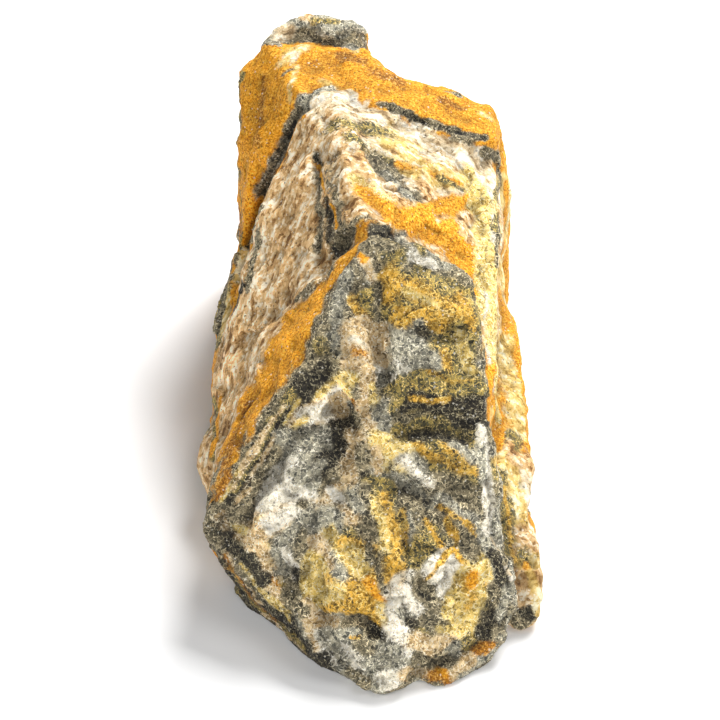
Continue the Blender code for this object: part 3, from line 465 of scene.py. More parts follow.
ore 1.2 1: -15.8 -23.9 9.6, -14.3 -25.4 8.7, -13.1 -26.4 7
olive .5 .6: -13.9 -25.8 7.1, -12.7 -26 4.3, -10.6 -27.3 2.4
pale_gold .25 .3: -12.9 -26.3 8.2, -10.8 -28.3 6.1, -8 -30.4 4.2
rust .15 1.3: -14.5 -25.3 8.6, -12.5 -26.4 5, -9.6 -28.3 2.2, -6.4 -31.9 1.6
olive .5 .6: -9 -28.7 2, -6.4 -32 2.1
buff .2 .3: -14.3 -25.4 8.7, -12.5 -26.7 6.3, -10.9 -28.2 4.6
buff .2 .3: -10.9 -27 2.3, -8.3 -29.4 1.3, -6.3 -31.9 1.4
buff .4 .5: -11.6 -26.1 9.9, -10.3 -27.9 7.2, -8.6 -29.1 6
buff .3 .4: -7 -30.1 6.7, -6.2 -31.7 5.5, -5.2 -33.5 3.8
black .8 .7: -13.9 -24.9 9.7, -12 -26.2 9.2, -10.8 -27.6 7.5
ore .6 .6: -8.4 -28.5 6.6, -6.7 -31 6.2
pale_gold .2 .3: -10 -28.8 6.1, -8 -30.1 5.3
# The right flank: pale yellow and ochre skins over green-grey rock, with a white vein.
ochre 1 .6: 13.1 -9.7 16.3, 13.5 -11.9 12.7, 13.7 -15.5 11.7
frost .5 .6: 11.6 -18.3 18.6, 12 -19.7 17.4, 12.1 -21.3 15.8, 12.3 -22.8 14.1, 12.5 -24.5 11.5
slate .5 .6: 11.4 -19.5 18, 11.6 -21.6 15.8
quartz .15 .3: 13 -25 10.9, 14 -26.4 9.2, 14.7 -27.4 7.2
straw .4 .5: 12.9 -11.4 16.1, 13.1 -19.4 16.5
ore .3 .3: 14.2 18.9 24.9, 14 10.8 24.8, 13.7 4.4 23
olive .4 .4: 13.8 15.8 25.6, 13.4 8.4 24.6
ochre .7 .5: 15.1 18.8 22.6, 14.9 16.2 19.2, 14.5 11.6 18.6
ochre 2.2 .7: 14.8 4.3 17, 15.5 -.5 15.4, 15.6 -6.5 13.5
ochre 2.2 .8: 15.2 -6.7 13.7, 15.7 -9.5 12, 16.1 -10.6 11.5
straw 1.3 1.2: 14.9 -.7 15.6, 15.4 -6.6 13.6, 15.7 -9.5 12
olive 1 .9: 15.3 -11.1 12, 15.6 -13.6 11.4
straw 2.2 .8: 15 -15 11.2, 15.5 -18.7 9, 16.1 -22.1 7.2
olive .9 .9: 13.7 -16 11.5, 13.9 -19.5 9.7, 14.4 -22.9 7.3
ore .4 .5: 13.3 -21.3 14.8, 13.6 -20.9 9.6, 14.2 -26.3 9
gold .4 .5: 14.1 -17.4 10.6, 14.7 -20.8 8.1, 15.2 -23.6 6.5
olive .5 .6: 14.9 -18 9.8, 15.5 -21.6 7.5
beige 1.6 .8: 16.1 -13.4 11.2, 16.6 -17 8.9, 16.9 -21.9 7
quartz .9 .8: 16.5 -15.1 10, 16.8 -18.4 7.3
straw .7 .8: 15.4 -14.7 11, 16 -19.3 8.2
straw 1 .7: 17.1 -23.1 6.1, 17.9 -25.3 3.8
olive .6 .9: 16.3 -22.7 6.8, 17.1 -24.7 5, 17.5 -26.2 3.5
ochre .4 .5: 16.5 -23.8 6, 16.9 -25.6 4.1
beige .8 .6: 17.5 -24.4 5.2, 17.9 -26 3.1
straw .5 .7: 16.7 -24.5 5.3, 17.7 -26.2 3.3
black .9 .5: 15.9 -26.8 2.7, 16.7 -27.1 1.7
beige .8 .6: 15.2 -24.8 5.5, 15.8 -26.4 3.5
ore .6 .5: 15.5 -27.4 1.3, 16.3 -27.6 .7
straw .5 .5: 17.3 -26.5 3, 17.8 -26.4 1.8
"""
# Patches that darken or lighten the colour by a factor, partly stains and partly painted shade and
# painted light that set how bright a face looks: a factor, half width, edge and points.
STAINS_AND_PAINTED_LIGHT = """
1.14 3.5 3: 7.8 -14.9 24.1, 8.8 -19.1 18.9, 9.3 -23.6 14.8, 8.1 -27.7 10.3, 10.4 -30.2 5.7
1.12 2 2: -1.6 -21.2 16.7, -2.3 -25.1 13.5, -2.8 -29 10.2
.9 1.2 .8: -5.1 -13.9 23.6, -8.8 -16.7 19.9, -12 -20.4 15.8
.92 3 1.5: -11.9 26.2 31.3, -12.1 21.5 28.1
1.12 2 1.5: -12.5 18.2 23.8, -13.2 16.4 20.4
1.3 1.8 1.2: 10.1 16.3 29, 12.5 17.3 27.1, 13.3 15 26.2
1.14 2.2 1.2: -5.7 -18.4 18.6, -7.3 -19.8 17.5, -8.6 -21.3 15.7
1.35 1.4 1: -6.5 -18.3 18.6, -4.3 -19 18.1
.9 2 1: 1.7 -.3 30.6, 4.3 -4.9 31.6
.9 1.6 1.2: -8.2 -20.8 16.4, -8.6 -23.3 14.5
1.06 3 2: -7.3 26.8 33.9, -3 25.7 33.6, -7.3 26.4 33.9, -8.4 22.7 33.9
1.12 3 2.5: 3.4 3.4 30.5, 6.5 4.1 28.2, 9.7 4.5 26.3
1.15 3 2: 12.4 11.2 26.5, 12.7 4.4 23.7, 12.9 -4.1 19.8, 13.1 -9.7 16.3
.86 2 1.5: -12.2 -12.1 18.3, -13.4 -16.5 16.7, -14.9 -19.7 14.8
1.34 2.2 1.2: 1.1 17.2 32.9, 6.7 17 30.4, 13.2 17 26.6
.93 6 1.5: -7.3 26.1 33.8, -2.4 24.4 33.7, 3.5 23 32.6, 8.9 22.4 30.9, 11.9 21.6 29.9
1.2 2.5 1.5: 5.5 4 29.1, 9.2 4.3 26.4, 11.3 .4 23.6
1.15 2 1.2: -3.9 -5.6 28.3, -7 -7.1 24.9, -9.9 -10.5 21
1.5 1.3 1: -2.7 -15.3 23, -3.5 -15.2 21.8, -4.3 -15.7 21.2
1.18 2 1.2: 3 -14.1 24.6, 6.5 -14.8 24.1
1.18 1.4 1: 8.6 -11.4 26.6, 10.2 -14.6 23.7
1.25 1.8 1.2: 3.2 -31.7 8.6, 4.2 -33.9 5
1.2 1 .8: -.8 10 33.5, .5 8.7 32.4
1.5 1.3 .8: 12 -21.4 15.8, 12.2 -22.8 14.1, 12.4 -24.5 11.6
.72 2 1.2: 1.2 -.4 31, 3.3 -3.7 32.3, 5.3 -4.7 32
1.2 2 1.2: -3.9 -33 4.2, -1.6 -34.2 4, .8 -35.2 3.5
1.4 1 .8: -1 -32.6 6.3, 1 -33.1 5.4
.75 2.2 1.2: 15.9 -23.1 6.6, 16.5 -24.9 4.9, 17.1 -26.3 3.4
.8 2 1.2: -8.2 -29.9 2.8, -6.3 -32.7 3.6, -4.3 -34.1 2.4
.8 1.6 1: -3.5 -18.2 18.7, -3.9 -20 17.6
.88 1.6 1: 6.7 -20 18.7, 9.3 -21.4 16.9
.9 1.6 1: -2.1 -7 29.6, -.8 -9.4 27.9
1.2 1 .8: -1.8 -27.8 11.1, -.4 -29.3 10.2
1.12 1.6 1: -1.4 -20.4 17.4, -.2 -23.4 15.2
.9 1.8 1: 2.3 10.3 31.8, 4.4 7.3 30.5
1.14 5 2: -8.3 11.2 29.1, -9.5 6.2 25, -11.2 1.7 20.5, -12.4 -1.1 17.2, -13.5 -3.9 14.1
1.1 2.2 1.2: -11.2 -25 11.9, -7.9 -23.4 14.7
.72 3 1.5: -15.2 -24.4 9.6, -13.2 -25.5 4.3, -7 -31.3 1.8, -3.9 -34.1 1.3
1.3 2.5 2: -14 -.6 15.5, -14.6 -2.8 13.2, -15 -4.4 11.8
1.1 2.5 1.5: 13.1 -12.1 12.9, 13.5 -22.2 13.6, 14.3 -26.2 8.9
.8 1.2 .8: 6.5 -35 1.3, 8.3 -34.8 .9
.85 1.5 1: 17.5 -24.8 4.8, 18 -25.9 2.5
.88 1.8 1.2: -1.6 -12.2 26.5, -.6 -13.1 25.7
"""

# How far the borders wander and over what length, in mm, and the seed of the noise.
DRIFT = ((0.55, 2.6, 20), (0.28, 0.9, 30))
WIDE_DRIFT = (1.6, 9.0, 40)
SWELL = (0.75, 1.7, 70)  # by what share a patch swells, over what length, and the seed
NOISE_STEPS = (17.3, 5.1, 9.7)  # how far apart two seeds read the noise


def wander(places, size, seed):
    """Smooth noise from -1 to 1 at each place, with this wavelength in mm."""
    shift = Vector([seed * step for step in NOISE_STEPS])
    return np.array([noise.noise(Vector(p) / size + shift) for p in places])


def wander_3d(reach, size, seed):
    """How far each point of the skin is shifted in x, y and z, up to this reach in mm."""
    return np.stack([reach * wander(points, size, seed + axis) for axis in range(3)], axis=1)


def distance_to_path(places, path):
    """Distance in mm from each place to the nearest point of a path of straight runs."""
    best = np.full(len(places), 1e9)
    for start, end in zip(path[:-1], path[1:]):
        run = end - start
        along = np.clip((places - start) @ run / max(run @ run, 1e-9), 0, 1)
        best = np.minimum(best, np.linalg.norm(places - start - along[:, None] * run, axis=1))
    return best


def cover_of(gap, edge):
    """1 inside a patch and 0 outside, turning smoothly over the width of its edge."""
    share = np.clip(0.5 - gap / (2.0 * edge), 0, 1)
    return share * share * (3 - 2 * share)


def lay(mineral, cover):
    """Put a mineral over whatever lies there already, by this cover from 0 to 1."""
    for name in MINERALS:
        amounts[name] *= 1.0 - cover
    amounts[mineral] += cover


def read(table):
    """Each line of a table under its headings: its first word, its sizes, and its points."""
    for line in table.strip().splitlines():
        if not line.startswith("#"):
            start, path = line.split(":")
            word, *sizes = start.split()
            yield word, *map(float, sizes), np.array([p.split() for p in path.split(",")], float)


amounts = {name: np.zeros(count) for name in MINERALS}
amounts["beige"] += 1.0
# The borders wander, so that no patch has a drawn outline.
drift = sum(wander_3d(*fold) for fold in DRIFT)
far_drift = points + drift + wander_3d(*WIDE_DRIFT)
for mineral, across, start, end in BANDS:
    place = far_drift @ np.array(across)
    lay(mineral, cover_of(np.maximum(start - place, place - end), BAND_EDGE))
for mineral, half_width, edge, path in read(HIDDEN):
    lay(mineral, cover_of(distance_to_path(far_drift, path) - half_width, edge))
# A patch also swells and pinches along its way, as minerals fill a crack.
share, size, seed = SWELL
swell = 1.0 + share * wander(points, size, seed)
for mineral, half_width, edge, path in read(PATCHES):
    # The border of a narrow patch wanders less.
    moved = points + min(1.0, 0.35 + 0.5 * half_width) * drift
    lay(mineral, cover_of(distance_to_path(moved, path) - half_width * swell, edge))
# Stains, painted shade and painted light, as one factor on the colour.
stain_and_painted_light = np.ones(count)
for factor, half_width, edge, path in read(STAINS_AND_PAINTED_LIGHT):
    cover = cover_of(distance_to_path(points + drift, path) - half_width, edge)
    stain_and_painted_light += (float(factor) - stain_and_painted_light) * cover


# ---------------- the stone: its break
# Brittle ore breaks in small hackly facets over an uneven surface, with ridges and creases
# where it parted along its joints.  Powdery ochre and sandy rock crumble smoother than the ore.

HACKLE = ((3.4, 0.26), (1.5, 0.24), (0.8, 0.17))  # facet size in mm, and how steeply it leans
HACKLE_STEPS = (3.7, 11.9, 7.3)  # how far apart two seeds read the facets
UNEVEN = ((4.5, 0.16), (1.7, 0.05), (0.7, 0.03))  # wavelength and height in mm
OCHRE_SMOOTHER, SANDY_SMOOTHER = 0.45, 0.30  # share of the relief that is lost
BLACK_SUNK = 0.12  # mm that black minerals lie lower
LOWEST, HIGHEST = -0.6, 0.45  # mm, the most that relief may sink or rise
KINDS = {"ridge": (1, 0.15), "crease": (-1, -0.22)}  # up or down, and the painted highlight (over 0) or painted shade (under 0) on its line
CREST = 1.2  # over 1, it rises to a sharp line
FOOT = 0.8  # mm of height over which relief fades in

# Each line: ridge or crease, its height or depth, half width and points, in mm.
BREAKS = """
crease .25 .7: -3.5 -15.6 20.3, -2.7 -15.9 20, -1.8 -17 19.8
crease .3 1: -1.2 -18 19.7, -1.6 -19.3 18.5, -2.2 -21 16.9
crease .35 1: 3.3 -18.8 19.2, 6.3 -18.2 19.5, 10.2 -18.6 18.8
crease .3 1.4: 2.8 -22.5 16.1, 5.8 -23.5 15.8, 8.8 -22.8 15.8, 11.8 -21.8 15.4
crease .4 .9: -5.3 -25 13.6, -5.7 -26.7 11.5, -6.3 -28.2 8.8
crease .45 1: -6.9 -17.9 19, -8.7 -19.6 17, -10.6 -21.6 14.4, -12 -23.4 12.2
crease .35 .9: -4.4 -31.5 5.8, -1.2 -32.2 6.8, .8 -32.8 5.7, 2.4 -34.3 5.2
crease .25 .8: -5.6 12.6 31.9, -5.1 8 30.3, -5 2.9 28.1, -5.2 .5 26.5
crease .4 .8: -7.2 19.2 32.7, -8.9 19 28.6, -10.4 18.2 24.1, -12.1 16.5 20.7, -13 14.3 18.6
crease .35 .7: 1.7 18.9 33.3, 4.5 18.6 32, 8.8 18.1 30.6, 12.8 18.6 29.3
crease .5 .8: -2.3 -35.2 2.5, .7 -36.6 1.9, 5.3 -34.8 1.4, 7.8 -33.9 2, 11.4 -32.1 2.6
crease .4 .7: 12.3 -17.4 18.9, 12.3 -21.4 15.6, 13.1 -25.1 10.7, 14.4 -27.8 6.9
crease .2 1: 1 -11.7 25.4, 1.6 -13.9 23.7, 1.2 -15.8 22.6
crease .3 .8: 3.2 -24.7 15.1, 4 -27.5 12.2, 3.6 -30.5 10.2
ridge .35 1.8: .4 -19 19.4, 2.7 -20.4 18.1, 5.8 -22.4 16.8
ridge .45 1.6: -7.3 -20.7 17.1, -9.6 -23 14.6, -11.4 -24.7 12
ridge .4 1.8: .4 -23.9 15.1, 1.7 -26.5 13.3, 3 -29 10.9
ridge .35 2: -3.7 -24.9 12.6, -2.8 -28.2 10.8, -2.3 -30.5 8.8
ridge .35 1.2: 10.1 -6.1 29.7, 11 -12.2 26.5, 11.6 -15.7 21.4, 11.9 -20.9 16.5
ridge .4 1.2: -11.4 -26.1 10, -10.2 -28.2 6.9, -7.3 -30.1 6.2, -6.1 -32.9 4.1, -4.1 -34.2 2
ridge .35 1.2: -3 18.8 34.1, -1.5 11.8 33.9, .6 6.8 32.2, 1.9 3.8 31.1
ridge .35 1.1: .2 -3.1 32.3, -2.4 -6 30.1, -3.9 -9.1 27.9, -6.6 -13.3 23.7, -9.6 -17.1 19.3, \
    -13.3 -20.9 15.1
ridge .45 1.6: 3.9 -19.6 18.6, 6.8 -19.4 19, 9.6 -20.4 18, 11.4 -21.1 16.4
ridge .3 1.5: 6.5 -28.2 10.8, 9.3 -27.2 10.4, 11.4 -27.6 9.4
ridge .4 1.5: 2.2 -12.3 25.9, 4.3 -13 25.8, 6.5 -12.6 26
ridge .35 1.2: -3.3 -32.8 4.7, -1.2 -33.2 6.1, 1.2 -33.9 5
ridge .35 1.3: -1.6 -12.2 26.5, -.6 -13.1 25.7, -.2 -14.5 24.4
crease .5 .7: -2.5 -15.1 23.8, -1.6 -16.1 23.1
crease .35 .8: -3.9 -15.8 20.4, -5.1 -17.7 19.4, -7.4 -17.9 19
"""


def facets(places, size, seed):
    """Height of small flat facets that meet at sharp edges, as a brittle mineral breaks."""
    shift = Vector([seed * step for step in HACKLE_STEPS])
    heights = np.zeros(len(places))
    for i, place in enumerate(places):
        scaled = Vector(place) / size + shift
        centre = noise.voronoi(scaled)[1][0]
        # Each facet leans its own way: three readings far apart in the noise, by its centre.
        lean = Vector([noise.noise(centre * 3.7 + Vector((9.0 * axis, seed, 0)))
                       for axis in range(3)])
        heights[i] = (scaled - centre).dot(lean) * size
    return heights


relief = sum(height * wander(points, size, 50 + i) for i, (size, height) in enumerate(UNEVEN))
relief += sum(lean * facets(points, size, 60 + i) for i, (size, lean) in enumerate(HACKLE))
sandy = amounts["straw"] + amounts["quartz"] + amounts["beige"]
relief *= 1.0 - OCHRE_SMOOTHER * amounts["ochre"] - SANDY_SMOOTHER * sandy
relief = np.clip(relief - BLACK_SUNK * amounts["black"], LOWEST, HIGHEST)
for kind, height, half_width, path in read(BREAKS):
    upward, painted_line_light = KINDS[kind]
    gap = distance_to_path(points + 0.5 * drift, path)
    relief += upward * height * np.clip(1.0 - gap / half_width, 0, 1) ** CREST
    # A crease gets a line of painted shade, and a ridge a line of painted highlight: fully to
    # 0.15 mm from its middle, and not at all from 0.65 mm.
    stain_and_painted_light *= 1.0 + np.clip(1.3 - gap / 0.5, 0, 1) * painted_line_light
# The side that it stands on stays flat, and nothing stands out of the solid's box.
points += outward * (relief * np.clip(points[:, 2] / FOOT, 0, 1))[:, None]
low, high = (np.array(corner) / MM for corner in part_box("specimen"))
points = np.clip(points, low, high)
stone.data.vertices.foreach_set("co", (points * MM).ravel())


# ---------------- the stone: its hollows
# Painted shade darkens where the surface lies below the rock around it, and what stands out is
# painted lighter.  The skin is smoothed a little and then a lot, and how far each point lies
# under the two smoothed skins tells how much painted shade it takes.

SMOOTHINGS = (10, 140)  # rounds, for small pits and for wide hollows
PIT, HOLLOW = 0.25, 1.3  # mm of depth at which each takes its full painted shade
LEVEL = 0.35  # painted shade on a level place

edges = np.zeros(len(stone.data.edges) * 2, np.int64)
stone.data.edges.foreach_get("vertices", edges)
edges = edges.reshape(-1, 2)
ends = np.concatenate([edges[:, 0], edges[:, 1]])
others = np.concatenate([edges[:, 1], edges[:, 0]])
neighbours = np.maximum(np.bincount(ends, minlength=count), 1)[:, None]
smoothed = points.copy()
sunk = []
for step in range(1, max(SMOOTHINGS) + 1):
    sums = np.stack([np.bincount(ends, weights=smoothed[others, axis], minlength=count)
                     for axis in range(3)], axis=1)
    smoothed = 0.5 * smoothed + 0.5 * sums / neighbours
    if step in SMOOTHINGS:
        sunk.append(((smoothed - points) * outward).sum(axis=1))
hollow = np.clip(LEVEL + sunk[0] / PIT + sunk[1] / HOLLOW, 0, 1)

# The finish reads minerals, painted hollow shade, and stains with painted light, from the skin's
# points.
for name, values in (*amounts.items(), ("hollow", hollow), ("stain_and_painted_light", stain_and_painted_light)):
    layer = stone.data.attributes.new(name, "FLOAT", "POINT")
    layer.data.foreach_set("value", values.astype(np.float32))
stone.data.update()


# ---------------- the stone: its finish
# Rough broken rock, unpolished: dull, its faint sparkle of quartz painted on as bright grains.
# Fields of grains, crystal edges and streaks are worked out once, and each mineral turns them into
# its colours.

# Sizes in mm.  Real dust and the thinnest crystal edges are under 0.1 mm, too fine to show, so
# dust, grains and edges are drawn two or three times as coarse.
CLOUDS, SHAKE, FINE, DUST, SPECKS, STREAKS = 2.4, 0.5, 0.30, 0.22, 0.28, 0.8
LARGE_CRYSTALS, SMALL_CRYSTALS, CRYSTAL_ZONES = 0.62, 0.38, 0.8
SHAKEN, BENT = 0.35, 0.34  # how far the grains and the crystal edges are bent
STREAK_LENGTH = 0.28  # under 1, streaks are longer than they are wide
SHARPNESS = 3.0  # over 1, the mineral with the larger share shows through
GRAIN_HEIGHT = 0.1  # mm


def tint(hex_colour):
    """A colour written as sRGB hex, as the linear values that the shader takes."""
    channels = [int(hex_colour[i:i + 2], 16) / 255 for i in (1, 3, 5)]
    return [c / 12.92 if c <= 0.04045 else ((c + 0.055) / 1.055) ** 2.4 for c in channels] + [1.0]


def out(node):
    """The first output of a node that is in use."""
    return [s for s in node.outputs if not s.is_unavailable][0]


def add(kind, links=None, stops=None, **settings):
    """One node with its settings, the values or links of its sockets, and its colour stops."""
    made = tree.nodes.new("ShaderNode" + kind)
    for name, value in settings.items():
        setattr(made, name, value)
    for name, value in (links or {}).items():
        if isinstance(name, int):
            socket = made.inputs[name]
        else:
            socket = [s for s in made.inputs if s.name == name and not s.is_unavailable][0]
        if isinstance(value, bpy.types.Node):
            value = out(value)
        if isinstance(value, bpy.types.NodeSocket):
            tree.links.new(value, socket)
        else:
            socket.default_value = value
    if stops:
        elements = made.color_ramp.elements
        while len(elements) < len(stops):
            elements.new(0.5)
        for element, (position, colour) in zip(elements, stops):
            element.position = position
            element.color = tint(colour)
    return made


rock = bpy.data.materials.new("telluride_ore_in_ochre_and_quartz")
rock.use_nodes = True
tree = rock.node_tree
shader = tree.nodes["Principled BSDF"]
# The coordinates are turned to mm here, so every scale below is one over a length in mm.
place = add("VectorMath", {0: add("TexCoord").outputs["Object"], "Scale": 1 / MM},
            operation="SCALE")
shake = add("TexNoise", {"Vector": place, "Scale": 1 / SHAKE, "Detail": 2.0})
shaken, bent = (add("VectorMath", {0: shake.outputs["Color"], 1: [reach] * 3, 2: place},
                    operation="MULTIPLY_ADD") for reach in (SHAKEN, BENT))
coarse = add("TexNoise", {"Vector": place, "Scale": 1 / CLOUDS, "Detail": 3.0, "Roughness": 0.6})
fine = add("TexNoise", {"Vector": shaken, "Scale": 1 / FINE, "Detail": 3.0, "Roughness": 0.72})
dust = add("TexNoise", {"Vector": place, "Scale": 1 / DUST, "Detail": 2.0, "Roughness": 0.7})

# Crystal edges: fine straight joints at two sizes, each shown in places only, with gaps.
where = add("TexNoise",
            {"Vector": place, "Scale": 1 / CRYSTAL_ZONES, "Detail": 2.0, "Roughness": 0.6})
shown = []
for size, width, hidden_at, shown_at in ((LARGE_CRYSTALS, 0.155, 0.42, 0.52),
                                         (SMALL_CRYSTALS, 0.21, 0.58, 0.46)):
    joints = add("TexVoronoi", {"Vector": bent, "Scale": 1 / size}, feature="DISTANCE_TO_EDGE")
    joints = add("MapRange", {"Value": joints, "From Min": width, "From Max": 0.01})
    zones = add("MapRange", {"Value": where, "From Min": hidden_at, "From Max": shown_at})
    shown.append(add("Math", {0: joints, 1: zones}, operation="MULTIPLY"))
lines = add("Math", {0: shown[0], 1: shown[1]}, operation="MAXIMUM")
unbroken = add("MapRange", {"Value": fine, "From Min": 0.41, "From Max": 0.52})
lines = add("Math", {0: lines, 1: unbroken}, operation="MULTIPLY")
grains = add("TexVoronoi", {"Vector": bent, "Scale": 1 / SMALL_CRYSTALS})
grain_tone = add("SeparateColor", {0: grains.outputs["Color"]})

# Streaks lie in the planes of the vein's banding, so they turn with each face that cuts them.
turned = add("VectorMath", {0: shaken, 1: ACROSS_SEAM}, operation="DOT_PRODUCT")
along = add("VectorMath", {0: place, "Scale": STREAK_LENGTH}, operation="SCALE")
across = add("VectorMath", {0: ACROSS_SEAM, "Scale": turned.outputs["Value"]}, operation="SCALE")
streaked = add("VectorMath", {0: along, 1: across}, operation="ADD")
streaks = add("TexNoise",
              {"Vector": streaked, "Scale": 1 / STREAKS, "Detail": 3.0, "Roughness": 0.65})

# Each field blends two of these, and is spread to run from about 0 to 1 about its middle.
FIELDS = (
    ("grain", grain_tone.outputs["Red"], fine, 0.55, 0.26, 0.74),
    ("ground", grain_tone.outputs["Green"], dust, 0.62, 0.24, 0.98),
    ("dust", fine, dust, 0.50, 0.40, 0.60),
    ("streak", streaks, coarse, 0.25, 0.39, 0.61),
    ("sandy", "streak", "grain", 0.40, 0.12, 0.88),
)
fields = {}
for name, first, second, share, lowest, highest in FIELDS:
    first, second = fields.get(first, first), fields.get(second, second)
    blended = add("Mix", {"Factor": share, "A": first, "B": second}, data_type="FLOAT")
    fields[name] = add("MapRange", {"Value": blended, "From Min": lowest, "From Max": highest},
                       clamp=False)
# The ore's field: its ground fills the lower part, and the crystal edges stand above it.
fields["flake"] = add("Math", {0: fields["ground"], 1: lines}, operation="MAXIMUM")

# Each mineral: the field that colours it, the field that breaks up its border and how far, and
# its colours from the darkest joints to the palest grains.
FINISHES = (
    # Sandy altered rock: cream and tan grains with brown between them.
    ("beige", "sandy", "grain", 1.0,
     ((0.02, "#7E5830"), (0.24, "#C0945C"), (0.56, "#E0BB84"), (0.93, "#FDEFD2"))),
    # Olive rock stained green and gold.
    ("olive", "flake", "grain", -0.6,
     ((0.03, "#28271E"), (0.34, "#646046"), (0.60, "#A8924C"), (0.86, "#ECC66C"),
      (0.98, "#FFE9A8"))),
    # Grey telluride ore: dark grey-green with pale crystal edges.
    ("ore", "flake", "grain", -0.8,
     ((0.03, "#28261F"), (0.34, "#665F4A"), (0.64, "#A09272"), (0.94, "#F6E6BE"))),
    # Blue-grey ore with white crystal edges.
    ("slate", "flake", "grain", -0.8,
     ((0.03, "#3A3B36"), (0.34, "#807D6E"), (0.64, "#B6AE94"), (0.94, "#FAF3DE"))),
    # Black ore minerals.
    ("black", "flake", "grain", -0.8,
     ((0.04, "#131210"), (0.44, "#332F27"), (0.70, "#605843"), (0.96, "#C4B998"))),
    # Quartz grown through the ore: white crystals with grey between them.
    ("frost", "flake", "flake", 1.0,
     ((0.03, "#857E6C"), (0.30, "#CCC3AC"), (0.56, "#EEE5D0"), (0.90, "#FFFCF2"))),
    # Sandy rock caught in the ore: tan crystals, brown between them.
    ("buff", "flake", "flake", 1.0,
     ((0.03, "#705B3A"), (0.30, "#BF9F6C"), (0.56, "#E8CC9A"), (0.92, "#FFF4DC"))),
    # Pale yellow crystals over the ore.
    ("pale_gold", "flake", "flake", 1.0,
     ((0.03, "#786430"), (0.30, "#CFAE58"), (0.56, "#F3D684"), (0.92, "#FFF6D0"))),
    # Milky quartz: white and cream grains with grey joints.
    ("quartz", "sandy", "flake", 1.0,
     ((0.0, "#9C8058"), (0.22, "#D4B98E"), (0.54, "#EFDBB6"), (0.86, "#FEF6E4"))),
    # Pale yellow clay stain.
    ("straw", "sandy", "flake", 1.0,
     ((0.0, "#A8843C"), (0.26, "#DAB564"), (0.58, "#F0D288"), (0.92, "#FEF3CC"))),
    # Gold-coloured ochre in a network over the ore.
    ("gold", "flake", "flake", 1.0,
     ((0.04, "#43371F"), (0.30, "#A67F2F"), (0.56, "#E4AE3E"), (0.94, "#FFE48E"))),
    # Iron ochre, a powdery yellow-brown rust.
    ("ochre", "dust", "streak", 0.8,
     ((0.0, "#A06008"), (0.26, "#D58812"), (0.62, "#EEA51F"), (0.97, "#FFC850"))),
    # Redder rust.
    ("rust", "dust", "grain", 1.0,
     ((0.05, "#6E4214"), (0.40, "#AC6C1A"), (0.70, "#CC8C2C"), (0.95, "#EBBB64"))),
)
painted, total = None, None
for name, field, border, breakup, stops in FINISHES:
    colours = add("ValToRGB", {"Fac": fields[field]}, stops=stops)
    amount = add("Attribute", attribute_name=name)
    spread = add("Math", {0: fields[border], 1: breakup, 2: 1.0 - breakup / 2},
                 operation="MULTIPLY_ADD")
    share = add("Math", {0: amount.outputs["Fac"], 1: spread}, operation="MULTIPLY",
                use_clamp=True)
    weight = add("Math", {0: share, 1: SHARPNESS}, operation="POWER")
    part = add("VectorMath", {0: colours, "Scale": weight}, operation="SCALE")
    if painted is None:
        painted, total = part, weight
    else:
        painted = add("VectorMath", {0: painted, 1: part}, operation="ADD")
        total = add("Math", {0: total, 1: weight}, operation="ADD")
level = add("Math", {0: 1.0, 1: total}, operation="DIVIDE")
skin_colour = add("VectorMath", {0: painted, "Scale": level}, operation="SCALE")

# Painted shade in the hollows and painted light on what stands out, a random cloud of tone,
# and the patches of stain, painted shade and painted light.
hollow = add("Attribute", attribute_name="hollow")
painted_hollow_shade = add("MapRange", {"Value": hollow.outputs["Fac"], "From Min": 0.0, "From Max": 1.0,
                        "To Min": 1.14, "To Max": 0.50})
cloud = add("MapRange", {"Value": coarse, "From Min": 0.3, "From Max": 0.7,
                         "To Min": 0.90, "To Max": 1.10})
stain_and_painted_light = add("Attribute", attribute_name="stain_and_painted_light")
shade = add("Math", {0: painted_hollow_shade, 1: cloud}, operation="MULTIPLY")
shade = add("Math", {0: shade, 1: stain_and_painted_light.outputs["Fac"]}, operation="MULTIPLY")
skin_colour = add("VectorMath", {0: skin_colour, "Scale": shade}, operation="SCALE")

# Single grains, painted: about one in 25 as a bright glint off a cleavage face, a painted
# highlight, and one in 15 as the painted shade inside an empty pit.
specks = add("TexVoronoi", {"Vector": shaken, "Scale": 1 / SPECKS})
speck_tone = add("SeparateColor", {0: specks.outputs["Color"]})
middle = add("MapRange",
             {"Value": specks.outputs["Distance"], "From Min": 0.50, "From Max": 0.26})
for channel, none_at, all_at, strength, colour in (("Red", 0.95, 0.97, 0.6, "#FBF4E2"),
                                                   ("Green", 0.08, 0.05, 0.7, "#2B2015")):
    chosen = add("MapRange",
                 {"Value": speck_tone.outputs[channel], "From Min": none_at, "From Max": all_at})
    chosen = add("Math", {0: chosen, 1: middle}, operation="MULTIPLY")
    chosen = add("Math", {0: chosen, 1: strength}, operation="MULTIPLY")
    skin_colour = add("Mix", {"Factor": chosen, "A": skin_colour, "B": tint(colour)},
                      data_type="RGBA")

tree.links.new(out(skin_colour), shader.inputs["Base Color"])
shader.inputs["Roughness"].default_value = 0.72  # a granular break, with no polish
shader.inputs["Specular IOR Level"].default_value = 0.25  # pores and dust take half the gloss
shader.inputs["IOR"].default_value = 1.54  # quartz
heights = add("Math", {0: fields["flake"], 1: fields["grain"]}, operation="ADD")
bump = add("Bump", {"Strength": 0.9, "Distance": GRAIN_HEIGHT * MM, "Height": heights})
tree.links.new(bump.outputs["Normal"], shader.inputs["Normal"])

stone.data.materials.clear()
stone.data.materials.append(rock)
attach(stone, "root")
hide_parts("specimen")


# ---------------- the floor
# A sheet of matt white paper, laid level under the stone.  It takes a soft shadow.

REACH = 1.6  # m from its middle to its edges
UNDER = 0.00002  # m below the stone, so that the two faces don't mix

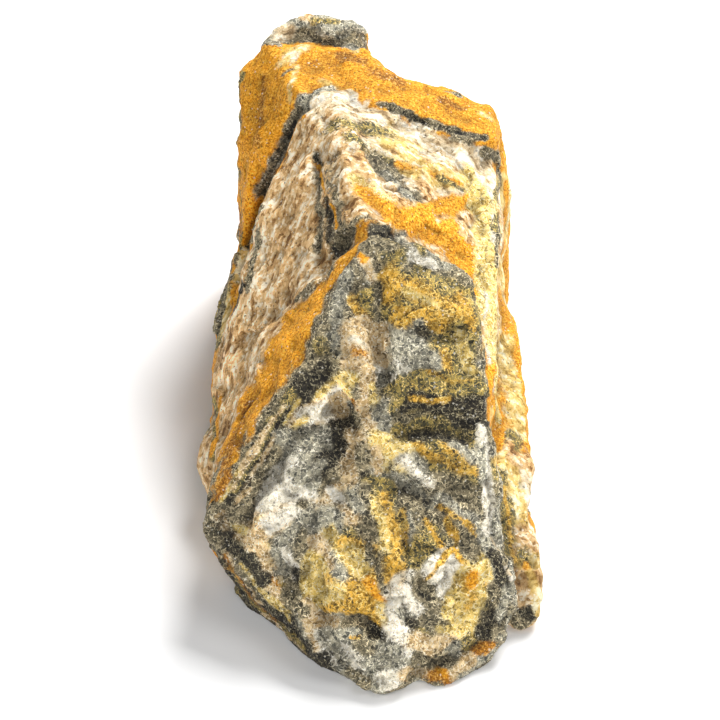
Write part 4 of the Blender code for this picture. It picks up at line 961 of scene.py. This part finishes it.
floor = bpy.data.objects.new("paper_floor", bpy.data.meshes.new("paper_floor"))
corners = [(-REACH, -REACH, 0), (REACH, -REACH, 0), (REACH, REACH, 0), (-REACH, REACH, 0)]
floor.data.from_pydata(corners, [], [(0, 1, 2, 3)])
bpy.context.scene.collection.objects.link(floor)
floor.location.z = -UNDER
paper = bpy.data.materials.new("matt_white_paper")
paper.use_nodes = True
sheet = paper.node_tree.nodes["Principled BSDF"]
sheet.inputs["Base Color"].default_value = tint("#F9F9F9")
sheet.inputs["Roughness"].default_value = 0.9
floor.data.materials.append(paper)


# ---------------- light and camera
# Soft square lamps: a strong one behind the stone's right shoulder, one in front, weak ones at
# the right and the left, and pale walls.  The camera looks down on the broken front.

AIM = Vector((-0.8, -7.6, 20.0)) * MM
CAMERA_STAND = (0.0, -306.418, 257.115)  # mm from the aim
LENS, SENSOR = 192.5, 36.0  # mm
WALLS = 0.13  # strength of the light from the walls


def lamp(name, offset, power, size):
    """A soft square lamp at this offset in mm from the aim, turned to it."""
    light = bpy.data.lights.new(name, "AREA")
    light.energy = power
    light.size = size * MM
    made = bpy.data.objects.new(name, light)
    bpy.context.scene.collection.objects.link(made)
    made.location = AIM + Vector(offset) * MM
    made.rotation_euler = (-Vector(offset)).to_track_quat("-Z", "Y").to_euler()


lamp("key_softbox", (180, 335, 420), 4.8, 230)
lamp("right_softbox", (300, -100, 460), 0.7, 300)
lamp("left_softbox", (-380, -200, 330), 0.6, 300)
lamp("front_softbox", (60, -470, 205), 1.25, 260)
world = bpy.data.worlds.new("white_walls")
bpy.context.scene.world = world
world.use_nodes = True
world.node_tree.nodes["Background"].inputs["Color"].default_value = (1, 1, 1, 1)
world.node_tree.nodes["Background"].inputs["Strength"].default_value = WALLS

camera_data = bpy.data.cameras.new("camera")
camera = bpy.data.objects.new("camera", camera_data)
bpy.context.scene.collection.objects.link(camera)
camera_data.sensor_width = SENSOR
camera_data.lens = LENS
camera_data.clip_start = 0.01
camera_data.clip_end = 10.0
camera.location = AIM + Vector(CAMERA_STAND) * MM
camera.rotation_euler = (AIM - camera.location).to_track_quat("-Z", "Y").to_euler()
bpy.context.scene.camera = camera
bpy.context.scene.view_settings.view_transform = "Standard"
